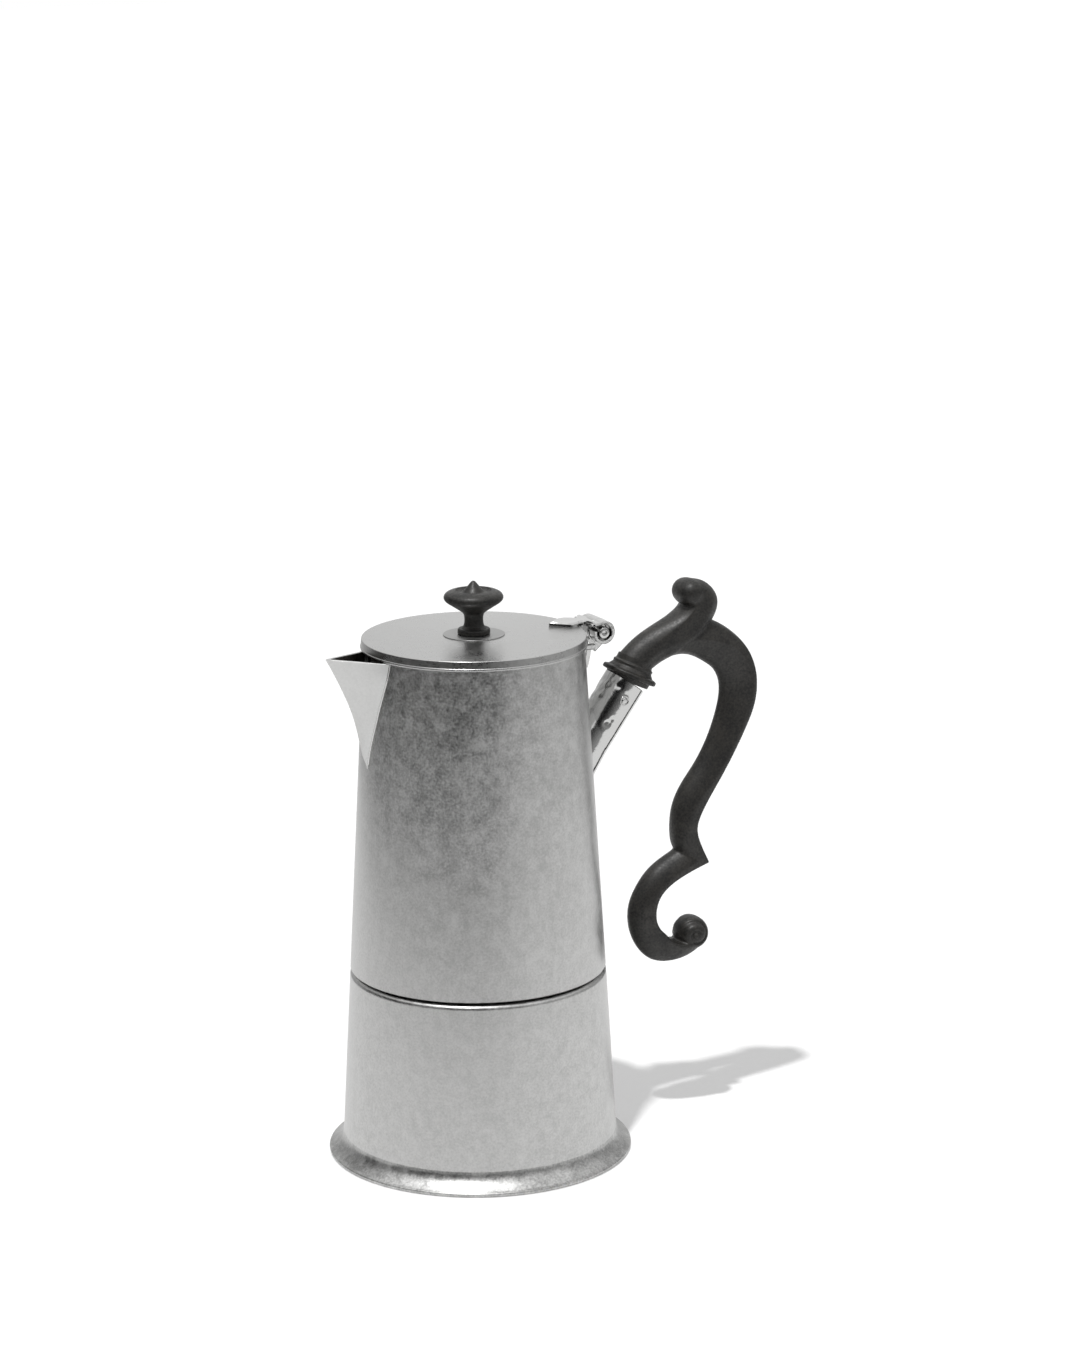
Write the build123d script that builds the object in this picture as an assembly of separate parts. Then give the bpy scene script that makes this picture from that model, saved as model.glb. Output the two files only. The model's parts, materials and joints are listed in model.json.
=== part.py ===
from build123d import *
import math
import os

# Stovetop espresso maker with a hinged lid, in millimetres, +Z up.
# The origin is on the pot's axis, on the surface that the pot stands on.
# The spout points along -X and the handle along +X.

# Outer cone shared by the two vessels, measured at the floor and at the rim
cone_floor_radius = 50.1
cone_rim_radius = 39.4
rim_height = 186.8
seam_height = 68.0
seam_gap = 0.6

# Fits
running_clearance = 0.05
loose_clearance = 0.4

# Lower vessel
boiler_wall = 2.5
boiler_floor = 3.0
shoulder_thickness = 3.0
shoulder_round = 1.3
foot_flare = 4.9
foot_height = 7.6
foot_lip_height = 1.3
foot_edge_round = 1.0

# Threaded neck and the coffee basket that hangs in it
neck_bore_radius = 30.0
neck_root_radius = 33.0
neck_spigot_radius = 32.2
neck_height = 16.0
thread_depth = 1.2
thread_pitch = 3.0
thread_turns = 2.5
thread_root_width = 1.9
thread_crest_width = 0.7
thread_clearance = 0.3
thread_start = 3.0
thread_start_angle = 40.0
thread_sink = 0.4
thread_joint_tolerance = 1e-4
basket_wall = 1.0
basket_depth = 22.0
basket_rim_radius = 32.0
sieve_ledge = 1.2
sieve_thickness = 0.8
funnel_drop = 8.0
funnel_socket_length = 6.0
funnel_tube_radius = 4.2
funnel_tube_bore = 3.3
funnel_tube_lift = 5.0

# Seal and filter plate
gasket_inner_radius = 27.0
gasket_outer_radius = 33.2
gasket_thickness = 3.0
gasket_clearance = 0.2
filter_thickness = 0.6
filter_edge_wall = 0.8
filter_lift = 0.6
sieve_hole_radius = 0.7
sieve_ring_pitch = 5.0

# Upper vessel
chamber_wall = 1.6
skirt_outer_radius = 38.0
skirt_lift = 1.2
recess_depth = 3.0
chamber_floor = 3.0
column_headroom = 34.8
column_base_radius = 7.0
column_top_radius = 5.6
column_bore = 3.5
column_flange_radius = 9.0
column_spigot_radius = 5.5
cap_wall = 0.9
cap_overlap = 9.0
cap_window_height = 5.0
cap_window_width = 6.0
cap_crown = 3.5

# Spout: a folded V of sheet from the rim down to a point on the wall
spout_reach = 17.5
spout_rise = 1.3
spout_half_width = 12.0
spout_depth = 37.0
spout_wall = 1.3
spout_flare = 1.3
spout_width_power = 0.85
spout_point_share = 0.04
spout_inner_share = 0.36
spout_spans = 7

# Lid
lid_overhang = 1.0
lid_seat_gap = 0.15
lid_rim_height = 3.6
lid_thickness = 1.4
lid_rim_wall = 1.5
lid_edge_round = 0.8
locating_depth = 5.3
locating_wall = 1.0
locating_clearance = 0.5
rosette_radius = 11.0
rosette_thickness = 0.3

# Knob and its screw
knob_height = 19.7
knob_radius = 10.6
knob_stem_radius = 3.3
knob_base_radius = 5.9
knob_base_height = 2.4
knob_base_round = 0.4
knob_cove = 1.6
knob_bulb_height = 12.6
knob_brow_drop = 3.3
knob_brow_round = 2.6
knob_dish_radius = 7.4
knob_dish_depth = 0.7
knob_cone_radius = 3.6
knob_tip_radius = 0.4
screw_radius = 2.0
screw_length = 12.0
screw_head_radius = 3.6
screw_head_height = 2.2
knob_washer_radius = 5.0
knob_washer_thickness = 0.8

# Hinge, with its axis along Y
hinge_reach = 7.6
hinge_drop = 2.6
barrel_radius = 4.45
barrel_half_length = 7.0
middle_half_length = 2.4
knuckle_gap = 0.3
pin_radius = 1.25
pin_end = 0.3
leaf_thickness = 1.2
leaf_length = 18.6
leaf_half_width = 5.4
leaf_waist_half_width = 3.4
bracket_depth = 5.0
pendant_length = 8.5
pendant_reach = 6.9
pendant_half_width = 2.5
ledge_height = 2.0
ledge_half_width = 3.3

# Handle socket, a tube at a slant on the wall
socket_drop = 43.5
socket_lean = 36.0
socket_length = 30.1
socket_radius = 7.85
socket_bore = 6.35
peg_length = 22.0
cross_pin_radius = 1.3
cross_pin_depth = 6.8
cross_pin_proud = 0.15

# Handle
collar_lean = 25.5
collar_radius = 10.2
collar_wedge_radius = 8.4
grip_thickness = 13.0
scroll_thickness = 12.6
thumb_thickness = 12.4
thumb_bulge = 3.0
thumb_roll_radius = 5.0
front_bulge = 5.0
back_bulge = 0.8
roll_radius = 6.1
roll_round = 2.6

# Safety valve, through the boiler's wall on the +Y side
valve_height = 42.0
valve_pad_radius = 8.5
valve_pad_proud = 0.8
valve_pad_depth = 3.8
valve_shank_radius = 5.0
valve_washer_radius = 8.0
valve_washer_thickness = 1.0
valve_hex = 14.0
valve_head = 4.0
valve_nut_thickness = 3.0
valve_tail = 1.0
valve_chamber_radius = 3.0
valve_seat_radius = 1.8
valve_seat_thickness = 1.5
valve_cap_radius = 3.6
valve_cap_thickness = 1.0
plunger_head_radius = 2.7
plunger_head_thickness = 1.2
plunger_stem_radius = 1.15
plunger_proud = 1.2
spring_wire_radius = 0.35
spring_radius = 2.3
spring_turns = 6

# Heights and places that follow from the sizes above
foot_radius = cone_floor_radius + foot_flare
neck_top = seam_height + neck_height
basket_rim_top = neck_top + basket_wall
chamber_floor_bottom = basket_rim_top + gasket_thickness
chamber_floor_top = chamber_floor_bottom + chamber_floor
column_top = rim_height - column_headroom
lid_radius = cone_rim_radius + lid_overhang
lid_bottom = rim_height + lid_seat_gap
lid_top = lid_bottom + lid_rim_height
hinge_x = lid_radius + hinge_reach
hinge_z = lid_top - hinge_drop
socket_root_height = rim_height - socket_drop
valve_pad_thickness = valve_pad_depth + valve_pad_proud


def cone_radius(z):
    """Outer radius of the two vessels' shared cone at height z."""
    return cone_floor_radius - (cone_floor_radius - cone_rim_radius) * z / rim_height


def turned(outline):
    """Solid of revolution about Z of a closed outline drawn as (radius, height)."""
    return revolve(Plane.XZ * make_face(outline), Axis.Z)


def turned_points(*points):
    """Solid of revolution about Z of a polygon of (radius, height) points."""
    return turned(Polyline(*points, close=True))


def ring(inner, outer, low, high):
    """Plain ring about Z between two radii and two heights."""
    return turned_points((inner, low), (outer, low), (outer, high), (inner, high))


def rod(radius, low, high):
    """Solid cylinder about Z between two heights."""
    return Pos(0, 0, low) * extrude(Circle(radius), high - low)


def cone_solid(inset, low, high):
    """Solid bounded by the shared cone moved in by inset, between two heights."""
    return turned_points(
        (0, low),
        (cone_radius(low) - inset, low),
        (cone_radius(high) - inset, high),
        (0, high),
    )


def perforated_disc(radius, thickness, last_ring):
    """Disc with a centre hole and rings of holes at a steady pitch."""
    holes = [Wire.make_circle(sieve_hole_radius)]
    for index in range(1, last_ring + 1):
        distance = index * sieve_ring_pitch
        count = 6 * index
        for step in range(count):
            spot = Vector(distance, 0).rotate(Axis.Z, 360 * step / count)
            holes.append(Wire.make_circle(sieve_hole_radius, Plane(spot)))
    return extrude(Face(Wire.make_circle(radius), holes), thickness)


def thread_ridge(root_radius, direction, start):
    """Helical ridge of trapezoid section, outwards or inwards from its root."""
    path = Helix(thread_pitch, thread_pitch * thread_turns, root_radius)
    section = Plane(origin=path @ 0, x_dir=(1, 0, 0), z_dir=path % 0)
    outline = Polyline(
        (-direction * thread_sink, -thread_root_width / 2),
        (0, -thread_root_width / 2),
        (direction * thread_depth, -thread_crest_width / 2),
        (direction * thread_depth, thread_crest_width / 2),
        (0, thread_root_width / 2),
        (-direction * thread_sink, thread_root_width / 2),
        close=True,
    )
    ridge = sweep(section * make_face(outline), path, is_frenet=True)
    return Pos(0, 0, start) * Rot(0, 0, thread_start_angle) * ridge


def make_boiler_shell():
    """Wall of the lower vessel, open at both ends, with a pad for the valve."""
    wall = cone_solid(0, 0, seam_height)
    wall = fillet(wall.edges().group_by(Axis.Z)[-1], shoulder_round)
    wall -= cone_solid(boiler_wall, 0, seam_height)
    wall += valve_frame * rod(valve_pad_radius, -valve_pad_thickness, 0)
    return wall - valve_frame * rod(valve_shank_radius + running_clearance, -valve_pad_thickness, 0)


def make_boiler_floor():
    """Thick disc that closes the lower vessel at the bottom."""
    return cone_solid(boiler_wall, 0, boiler_floor)


def make_boiler_shoulder():
    """Flat ring from the wall in to the threaded neck."""
    low = seam_height - shoulder_thickness
    return cone_solid(boiler_wall, low, seam_height) - rod(neck_spigot_radius, low, seam_height)


def make_foot_ring():
    """Flared ring round the foot, with a hollow curve up to the wall."""
    low = (cone_radius(0), 0)
    toe = (foot_radius - foot_edge_round, 0)
    lip = (foot_radius, foot_lip_height)
    brow = (foot_radius - 0.9 * foot_edge_round, foot_lip_height + 1.2 * foot_edge_round)
    under = (foot_radius - foot_edge_round / 4, foot_lip_height / 3)
    over = (foot_radius - 0.15 * foot_edge_round, foot_lip_height + 0.75 * foot_edge_round)
    top = (cone_radius(foot_height), foot_height)
    down_wall = (cone_radius(0) - cone_radius(foot_height), -foot_height)
    outline = Line(low, toe) + ThreePointArc(toe, under, lip) + ThreePointArc(lip, over, brow)
    outline += TangentArc(top, brow, tangent=down_wall) + Line(top, low)
    return turned(outline)


def make_boiler_neck():
    """Neck with an outside thread, let into the boiler's shoulder."""
    low = seam_height - shoulder_thickness
    neck = turned_points(
        (neck_bore_radius, low),
        (neck_spigot_radius, low),
        (neck_spigot_radius, seam_height),
        (neck_root_radius, seam_height),
        (neck_root_radius, neck_top),
        (neck_bore_radius, neck_top),
    )
    ridge = thread_ridge(neck_root_radius, 1, seam_height + thread_start)
    return neck.fuse(ridge, tol=thread_joint_tolerance)


def make_basket_cup():
    """Coffee basket that hangs in the neck: rim, wall and ledge for the sieve."""
    outer = neck_bore_radius - loose_clearance
    inner = outer - basket_wall
    ledge = neck_top - basket_depth
    return turned_points(
        (inner, basket_rim_top),
        (basket_rim_radius, basket_rim_top),
        (basket_rim_radius, neck_top),
        (outer, neck_top),
        (outer, ledge - basket_wall),
        (inner - sieve_ledge, ledge - basket_wall),
        (inner - sieve_ledge, ledge),
        (inner, ledge),
    )


def make_basket_funnel():
    """Shallow cone under the basket, with a short socket for the tube."""
    outer = neck_bore_radius - loose_clearance
    ledge = neck_top - basket_depth - basket_wall
    throat = funnel_tube_radius
    funnel_low = ledge - funnel_drop
    return turned_points(
        (outer - basket_wall, ledge),
        (outer, ledge),
        (outer, ledge - basket_wall),
        (throat + basket_wall, funnel_low - basket_wall),
        (throat + basket_wall, funnel_low - funnel_socket_length),
        (throat, funnel_low - funnel_socket_length),
        (throat, funnel_low),
    )


def make_basket_sieve():
    """Perforated floor that lies on the basket's ledge."""
    radius = neck_bore_radius - loose_clearance - basket_wall - running_clearance
    rings = int((radius - 3) / sieve_ring_pitch)
    ledge = neck_top - basket_depth
    return Pos(0, 0, ledge) * perforated_disc(radius, sieve_thickness, rings)


def make_funnel_tube():
    """Tube from the funnel down to just above the boiler's floor."""
    top = neck_top - basket_depth - basket_wall - funnel_drop
    low = boiler_floor + funnel_tube_lift
    return ring(funnel_tube_bore, funnel_tube_radius, low, top)


def make_gasket():
    """Flat rubber ring between the basket's rim and the chamber's floor."""
    return ring(gasket_inner_radius, gasket_outer_radius, basket_rim_top, chamber_floor_bottom)


def make_filter_plate():
    """Perforated dish held inside the gasket."""
    radius = gasket_inner_radius - running_clearance
    low = basket_rim_top + filter_lift
    rings = int((radius - 4) / sieve_ring_pitch)
    plate = Pos(0, 0, low) * perforated_disc(radius, filter_thickness, rings)
    return plate + ring(radius - filter_edge_wall, radius, low, chamber_floor_bottom)


def make_chamber_floor():
    """Floor of the upper vessel, with a hole for the riser's spigot."""
    disc = cone_solid(chamber_wall, chamber_floor_bottom, chamber_floor_top)
    return disc - rod(column_spigot_radius, chamber_floor_bottom, chamber_floor_top)


def make_threaded_skirt():
    """Ring under the chamber's floor that screws onto the boiler's neck."""
    thread_bore = neck_root_radius + thread_depth + thread_clearance
    recess = gasket_outer_radius + gasket_clearance
    recess_low = basket_rim_top - recess_depth
    skirt = turned_points(
        (recess, chamber_floor_bottom),
        (recess, recess_low),
        (thread_bore, recess_low),
        (thread_bore, seam_height + skirt_lift),
        (skirt_outer_radius, seam_height + skirt_lift),
        (skirt_outer_radius, chamber_floor_bottom),
    )
    start = seam_height + thread_start + thread_pitch / 2
    return skirt.fuse(thread_ridge(thread_bore, -1, start), tol=thread_joint_tolerance)


def make_upper_chamber():
    """Upper vessel's tapered wall, open at both ends, with a notch behind the spout."""
    low = seam_height + seam_gap
    shell = cone_solid(0, low, rim_height) - cone_solid(chamber_wall, low, rim_height)
    return shell - spout_block(spout_wall, spout_inner_share)


def make_coffee_column():
    """Riser tube on the chamber floor, with a spigot through the floor."""
    return turned_points(
        (column_bore, chamber_floor_bottom),
        (column_spigot_radius, chamber_floor_bottom),
        (column_spigot_radius, chamber_floor_top),
        (column_flange_radius, chamber_floor_top),
        (column_flange_radius, chamber_floor_top + 1.5),
        (column_base_radius, chamber_floor_top + 4),
        (column_top_radius, column_top - cap_overlap - 1),
        (column_top_radius, column_top),
        (column_bore, column_top),
    )


def make_column_cap():
    """Cap pressed over the riser, with a window on each side along Y."""
    inner = column_top_radius + running_clearance
    outer = inner + cap_wall
    low = column_top - cap_overlap
    window_low = column_top + 0.5
    ceiling = window_low + cap_window_height + 0.5
    edge = ceiling + 0.8
    outline = Polyline((0, ceiling), (inner, ceiling), (inner, low), (outer, low), (outer, edge))
    crown = (0, ceiling + cap_crown)
    outline += TangentArc(crown, (outer, edge), tangent=(1, 0)) + Line(crown, (0, ceiling))
    window = Box(cap_window_width, 4 * outer, cap_window_height)
    return turned(outline) - Pos(0, 0, window_low + cap_window_height / 2) * window


def spout_section(share, inset):
    """Horizontal V section at a share of the spout's height, moved in by inset."""
    height = rim_height + spout_rise - spout_depth * (1 - share)
    radius = cone_radius(height)
    half_width = spout_half_width * share**spout_width_power
    keel = radius + spout_reach * share**spout_flare
    root = math.sqrt(radius**2 - half_width**2)
    slope = (keel - root) / half_width
    tip = keel - inset * math.hypot(1, slope)
    half = (tip - root) / slope
    back = root - 3 * chamber_wall
    return Plane.XY.offset(height) * make_face(
        Polyline((-tip, 0), (-root, half), (-back, half), (-back, -half), (-root, -half), close=True)
    )


def spout_block(inset, low_share):
    """Solid V between the spout's faces, cut along the sloping rim."""
    steps = [low_share + (1 - low_share) * i / spout_spans for i in range(spout_spans + 1)]
    return loft([spout_section(share, inset) for share in steps], ruled=True) & rim_wedge()


def rim_wedge():
    """Space under the spout's rim, which rises from the wall towards the tip."""
    far = cone_rim_radius + spout_reach
    low = rim_height - 2 * spout_depth
    outline = Polyline(
        (0, low),
        (0, rim_height),
        (-cone_rim_radius, rim_height),
        (-far, rim_height + spout_rise),
        (-far - 5, rim_height + spout_rise),
        (-far - 5, low),
        close=True,
    )
    return extrude(Plane.XZ * make_face(outline), 2 * far, both=True)


def make_spout():
    """Folded sheet spout, from its outer face in to its thickness."""
    body = cone_solid(0, 0, rim_height + 10)
    return spout_block(0, spout_point_share) - spout_block(spout_wall, spout_inner_share) - body


def make_lid_plate():
    """Flat lid with a turned-down rim and a hole for the knob's screw."""
    rim_inner = lid_radius - lid_rim_wall
    underside = lid_top - lid_thickness
    hole = screw_radius + running_clearance
    lid = turned_points(
        (hole, underside),
        (rim_inner, underside),
        (rim_inner, lid_bottom),
        (lid_radius, lid_bottom),
        (lid_radius, lid_top),
        (hole, lid_top),
    )
    top_edges = lid.edges().filter_by(GeomType.CIRCLE).group_by(Axis.Z)[-1]
    return fillet(top_edges.sort_by(SortBy.RADIUS)[-1], lid_edge_round)


def make_lid_locating_ring():
    """Ring under the lid that drops inside the vessel's rim."""
    outer = cone_rim_radius - chamber_wall - locating_clearance
    underside = lid_top - lid_thickness
    return ring(outer - locating_wall, outer, rim_height - locating_depth, underside)


def make_knob_rosette():
    """Thin disc between the lid and the knob."""
    hole = screw_radius + running_clearance
    return ring(hole, rosette_radius, lid_top, lid_top + rosette_thickness)


def make_lid_knob():
    """Turned knob: base, stem, bulb, dished top and small point."""
    seat = lid_top + rosette_thickness
    tip = seat + knob_height
    base_top = seat + knob_base_height
    stem_low = base_top + knob_cove
    stem_high = tip - knob_bulb_height
    bulb = tip - knob_brow_drop - knob_brow_round
    brow = tip - knob_brow_drop
    edge = knob_base_radius - knob_base_round
    cheek = (0.75 * knob_radius, (stem_high + bulb) / 2)
    foot_middle = (knob_base_radius, seat + knob_base_height / 2)
    cove_middle = (knob_stem_radius + knob_cove / 4, base_top + knob_cove / 3)
    outline = Line((0, seat), (edge, seat))
    outline += ThreePointArc((edge, seat), foot_middle, (edge, base_top))
    outline += ThreePointArc((edge, base_top), cove_middle, (knob_stem_radius, stem_low))
    outline += Line((knob_stem_radius, stem_low), (knob_stem_radius, stem_high))
    outline += ThreePointArc(
        (knob_stem_radius, stem_high),
        (knob_stem_radius + 0.8, stem_high + 1.3),
        cheek,
    )
    outline += ThreePointArc(cheek, (knob_radius, bulb), (knob_dish_radius, brow))
    outline += ThreePointArc(
        (knob_dish_radius, brow),
        ((knob_dish_radius + knob_cone_radius) / 2, brow - knob_dish_depth),
        (knob_cone_radius, brow),
    )
    outline += ThreePointArc(
        (knob_cone_radius, brow),
        (0.45 * knob_cone_radius, brow + 0.55 * knob_brow_drop),
        (knob_tip_radius, tip),
    )
    outline += Line((knob_tip_radius, tip), (0, tip)) + Line((0, tip), (0, seat))
    return turned(outline) - rod(screw_radius, seat, screw_tip)


def make_knob_screw():
    """Screw up through the lid into the knob, its head under the lid."""
    head_top = lid_top - lid_thickness - knob_washer_thickness
    head = rod(screw_head_radius, head_top - screw_head_height, head_top)
    slot = Pos(0, 0, head_top - screw_head_height) * Box(2 * screw_head_radius, 0.9, 1.6)
    return head + rod(screw_radius, head_top, screw_tip) - slot


def make_knob_washer():
    """Washer under the screw's head."""
    top = lid_top - lid_thickness
    inner = screw_radius + running_clearance
    return ring(inner, knob_washer_radius, top - knob_washer_thickness, top)


def hinge_rod(radius, low, high):
    """Cylinder on the hinge's axis between two places along Y."""
    return Plane.XZ.offset(-high) * Pos(hinge_x, hinge_z) * extrude(Circle(radius), high - low)


def make_hinge_leaf():
    """Pointed strap on the lid with the two outer knuckles."""
    tip = hinge_x - leaf_length
    waist = tip + leaf_length * 0.66
    shoulder = tip + leaf_length * 0.38
    end = hinge_x - barrel_radius * 0.4
    side = [
        Line((tip, 0), (shoulder, leaf_half_width)),
        ThreePointArc(
            (shoulder, leaf_half_width),
            (waist - 1.5, leaf_waist_half_width + 0.5),
            (waist, leaf_waist_half_width),
        ),
        ThreePointArc(
            (waist, leaf_waist_half_width),
            (waist + 2.0, leaf_waist_half_width + 1.0),
            (end - 1.5, barrel_half_length),
        ),
        Line((end - 1.5, barrel_half_length), (end, barrel_half_length)),
    ]
    other = [edge.mirror(Plane.XZ) for edge in side]
    close = Line((end, barrel_half_length), (end, -barrel_half_length))
    strap = Pos(0, 0, lid_top) * extrude(make_face([*side, close, *other]), leaf_thickness)
    gap = middle_half_length + knuckle_gap
    leaf = strap + hinge_rod(barrel_radius, gap, barrel_half_length)
    leaf += hinge_rod(barrel_radius, -barrel_half_length, -gap)
    leaf -= hinge_rod(barrel_radius + knuckle_gap, -gap, gap)
    return leaf - hinge_rod(pin_radius + running_clearance, -barrel_half_length, barrel_half_length)


def make_hinge_bracket():
    """Middle knuckle on a neck from the wall, with a tapering pendant below."""
    high = rim_height - 0.8
    neck_low = hinge_z - bracket_depth
    tail = neck_low - pendant_length
    wall = cone_rim_radius - 2
    reach = cone_rim_radius + pendant_reach
    neck = Polyline(
        (wall, neck_low),
        (reach, neck_low),
        (hinge_x + 2, hinge_z - 2),
        (hinge_x - 2, hinge_z - 1),
        (lid_radius + 1, high),
        (wall, high),
        close=True,
    )
    bracket = extrude(Plane.XZ * make_face(neck), middle_half_length, both=True)
    bracket += hinge_rod(barrel_radius, -middle_half_length, middle_half_length)
    ledge_size = reach + 0.1 - wall
    ledge = Box(ledge_size, 2 * ledge_half_width, ledge_height)
    bracket += Pos(wall + ledge_size / 2, 0, neck_low - ledge_height * 0.3) * ledge
    top_face = Pos(0, 0, neck_low) * make_face(
        Polyline(
            (wall, -pendant_half_width),
            (reach, -pendant_half_width * 0.8),
            (reach, pendant_half_width * 0.8),
            (wall, pendant_half_width),
            close=True,
        )
    )
    tail_face = Pos(0, 0, tail) * make_face(
        Polyline(
            (wall, -pendant_half_width * 0.6),
            (reach - 1.6, -pendant_half_width * 0.4),
            (reach - 1.6, pendant_half_width * 0.4),
            (wall, pendant_half_width * 0.6),
            close=True,
        )
    )
    bracket += loft([top_face, tail_face], ruled=True)
    bracket -= cone_solid(0, 0, rim_height + 10)
    return bracket - hinge_rod(pin_radius, -middle_half_length, middle_half_length)


def make_hinge_pin():
    """Pin through the three knuckles."""
    half = barrel_half_length + pin_end
    return hinge_rod(pin_radius, -half, half)


def make_handle_socket():
    """Slanted tube brazed on the wall."""
    tube = socket_frame * rod(socket_radius, -socket_length - 12, 0)
    tube -= socket_frame * rod(socket_bore, -socket_length - 12, 0)
    tube -= cone_solid(0, 0, rim_height + 10)
    return tube - cross_hole()


def cross_hole():
    """Room for the cross pin through the socket and the handle's peg."""
    return socket_frame * Pos(0, 0, -cross_pin_depth) * Rot(90, 0, 0) * Cylinder(
        cross_pin_radius, 4 * socket_radius
    )


def make_handle_pin():
    """Cross pin that holds the peg in the socket."""
    length = 2 * (socket_radius + cross_pin_proud)
    place = socket_frame * Pos(0, 0, -cross_pin_depth) * Rot(90, 0, 0)
    return place * Cylinder(cross_pin_radius, length)


def handle_point(across, up):
    """Point in the handle's plane, measured from the socket's top."""
    return Vector(socket_top.X + across, 0, socket_top.Z + up)


def handle_section(front, back, half, front_swell, back_swell):
    """D section from its front point to its back point, with flat sides between."""
    inner = handle_point(*front)
    outer = handle_point(*back)
    along = (outer - inner).normalized()
    side = Vector(0, half, 0)
    front_base = inner + along * front_swell
    back_base = outer - along * back_swell
    edges = [
        Edge.make_three_point_arc(front_base - side, inner, front_base + side),
        Edge.make_line(front_base + side, back_base + side),
        Edge.make_three_point_arc(back_base + side, outer, back_base - side),
        Edge.make_line(back_base - side, front_base - side),
    ]
    return Face(Wire(edges))


def make_collar():
    """Turned collar between the socket and the handle's neck."""
    profile = Polyline(
        (0, -2.6),
        (8.2, -2.6),
        (8.6, -1.6),
        (collar_radius - 0.5, -1.0),
        (collar_radius, -0.3),
        (collar_radius, 0.4),
        (collar_radius - 0.5, 1.1),
        (8.2, 1.9),
        (8.5, 2.8),
        (8.1, 3.6),
        (7.0, 4.2),
        (6.9, 6.0),
        (0, 6.0),
        close=True,
    )
    centre = handle_point(1.7, 1.9)
    lean = math.radians(collar_lean)
    frame = Plane(origin=centre, x_dir=(0, 1, 0), z_dir=(math.sin(lean), 0, math.cos(lean)))
    collar = frame * revolve(Plane.XZ * make_face(profile), Axis.Z)
    above = socket_frame * rod(3 * collar_radius, 0, 3 * collar_radius)
    return (collar & above) + socket_frame * rod(collar_wedge_radius, 0, 1.6)


def make_thumb():
    """Thumb rest: a tongue that fans over from the arm and ends in a roll."""
    half = thumb_thickness / 2
    stations = [
        ((22.5, 21.5), (35.6, 18.5), thumb_bulge),
        ((23.9, 25.6), (37.3, 24.6), thumb_bulge),
        ((25.3, 27.2), (36.0, 29.6), thumb_bulge),
        ((25.9, 28.8), (32.6, 33.2), thumb_bulge * 0.9),
        ((26.0, 30.2), (27.6, 35.3), thumb_bulge * 0.7),
    ]
    sections = [handle_section(front, back, half, swell, swell) for front, back, swell in stations]
    return loft(sections) + roll_at(thumb_roll_centre, thumb_roll_radius, thumb_thickness)


def roll_at(place, radius, thickness):
    """Short cylinder along Y with rounded ends, in the handle's plane."""
    centre = handle_point(*place)
    roll = Pos(centre.X, 0, centre.Z) * Rot(90, 0, 0) * Cylinder(radius, thickness)
    return fillet(roll.edges().filter_by(GeomType.CIRCLE), roll_round)


def make_grip():
    """Arm, grip and shaft of the handle, as one run of D sections."""
    half = grip_thickness / 2
    stations = [
        ((10.1, 3.4), (-2.4, 9.4), half + 0.3, 6.2, 6.0),
        ((13.3, 5.2), (4.3, 15.1), half - 0.1, 6.0, 5.5),
        ((17.4, 6.6), (15.1, 20.9), half - 0.1, 5.6, 4.5),
        ((25.4, 7.1), (27.4, 21.0), half, 5.2, 2.5),
        ((32.6, 3.2), (38.1, 17.6), half, front_bulge, back_bulge),
        ((36.2, 0.1), (48.2, 8.4), half, front_bulge, back_bulge),
        ((38.2, -4.1), (52.0, -2.4), half, front_bulge, back_bulge),
        ((38.5, -9.3), (51.3, -11.8), half, front_bulge, back_bulge),
        ((36.8, -17.2), (47.4, -21.6), half, front_bulge, back_bulge),
        ((28.5, -34.6), (37.0, -39.7), half, front_bulge, back_bulge),
        ((19.0, -52.3), (28.0, -54.8), half, front_bulge, back_bulge),
        ((18.8, -61.9), (27.7, -60.6), half, front_bulge, back_bulge),
        (notch, spur, half, front_bulge + 0.7, back_bulge),
    ]
    return loft([handle_section(*station) for station in stations])


def make_scroll():
    """Scroll below the notch, ending in a roll."""
    half = scroll_thickness / 2
    stations = [
        (notch, spur, grip_thickness / 2, front_bulge + 0.7, back_bulge),
        ((17.4, -67.6), (23.0, -75.0), half, front_bulge, back_bulge),
        ((9.6, -72.6), (15.0, -79.3), half, front_bulge, back_bulge),
        ((4.8, -78.4), (11.8, -82.9), half, front_bulge, back_bulge),
        ((1.6, -85.0), (10.5, -87.1), half, front_bulge, back_bulge),
        ((1.1, -92.0), (10.7, -91.3), half, front_bulge, back_bulge),
        ((3.6, -100.0), (12.8, -95.0), half, front_bulge, back_bulge),
        ((10.0, -106.9), (15.1, -97.3), half, front_bulge, back_bulge),
        ((18.2, -108.6), (17.7, -100.1), half, front_bulge, back_bulge),
        ((25.4, -106.6), (22.0, -99.6), half, front_bulge, back_bulge),
    ]
    return loft([handle_section(*station) for station in stations])


def make_handle():
    """Whole handle with its peg in the socket, one solid."""
    peg = socket_frame * rod(socket_bore - running_clearance, -peg_length, 1)
    roll = roll_at(scroll_roll_centre, roll_radius, scroll_thickness)
    handle = make_grip() + make_scroll() + roll + make_thumb() + make_collar() + peg
    return handle - cross_hole()


def make_valve_body():
    """Hexagonal housing through the wall, bored for the spring."""
    head_low = valve_washer_thickness
    head_top = head_low + valve_head
    low = -valve_pad_proud - valve_pad_depth - valve_nut_thickness - valve_tail
    head = Pos(0, 0, head_low) * extrude(RegularPolygon(valve_hex / 2, 6, major_radius=False), valve_head)
    body = head + rod(valve_shank_radius, low, head_low)
    body -= rod(valve_seat_radius, low, head_top)
    body -= rod(valve_chamber_radius, low + valve_seat_thickness, head_top)
    body -= rod(valve_cap_radius, head_top - valve_cap_thickness, head_top)
    return valve_frame * body


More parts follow.
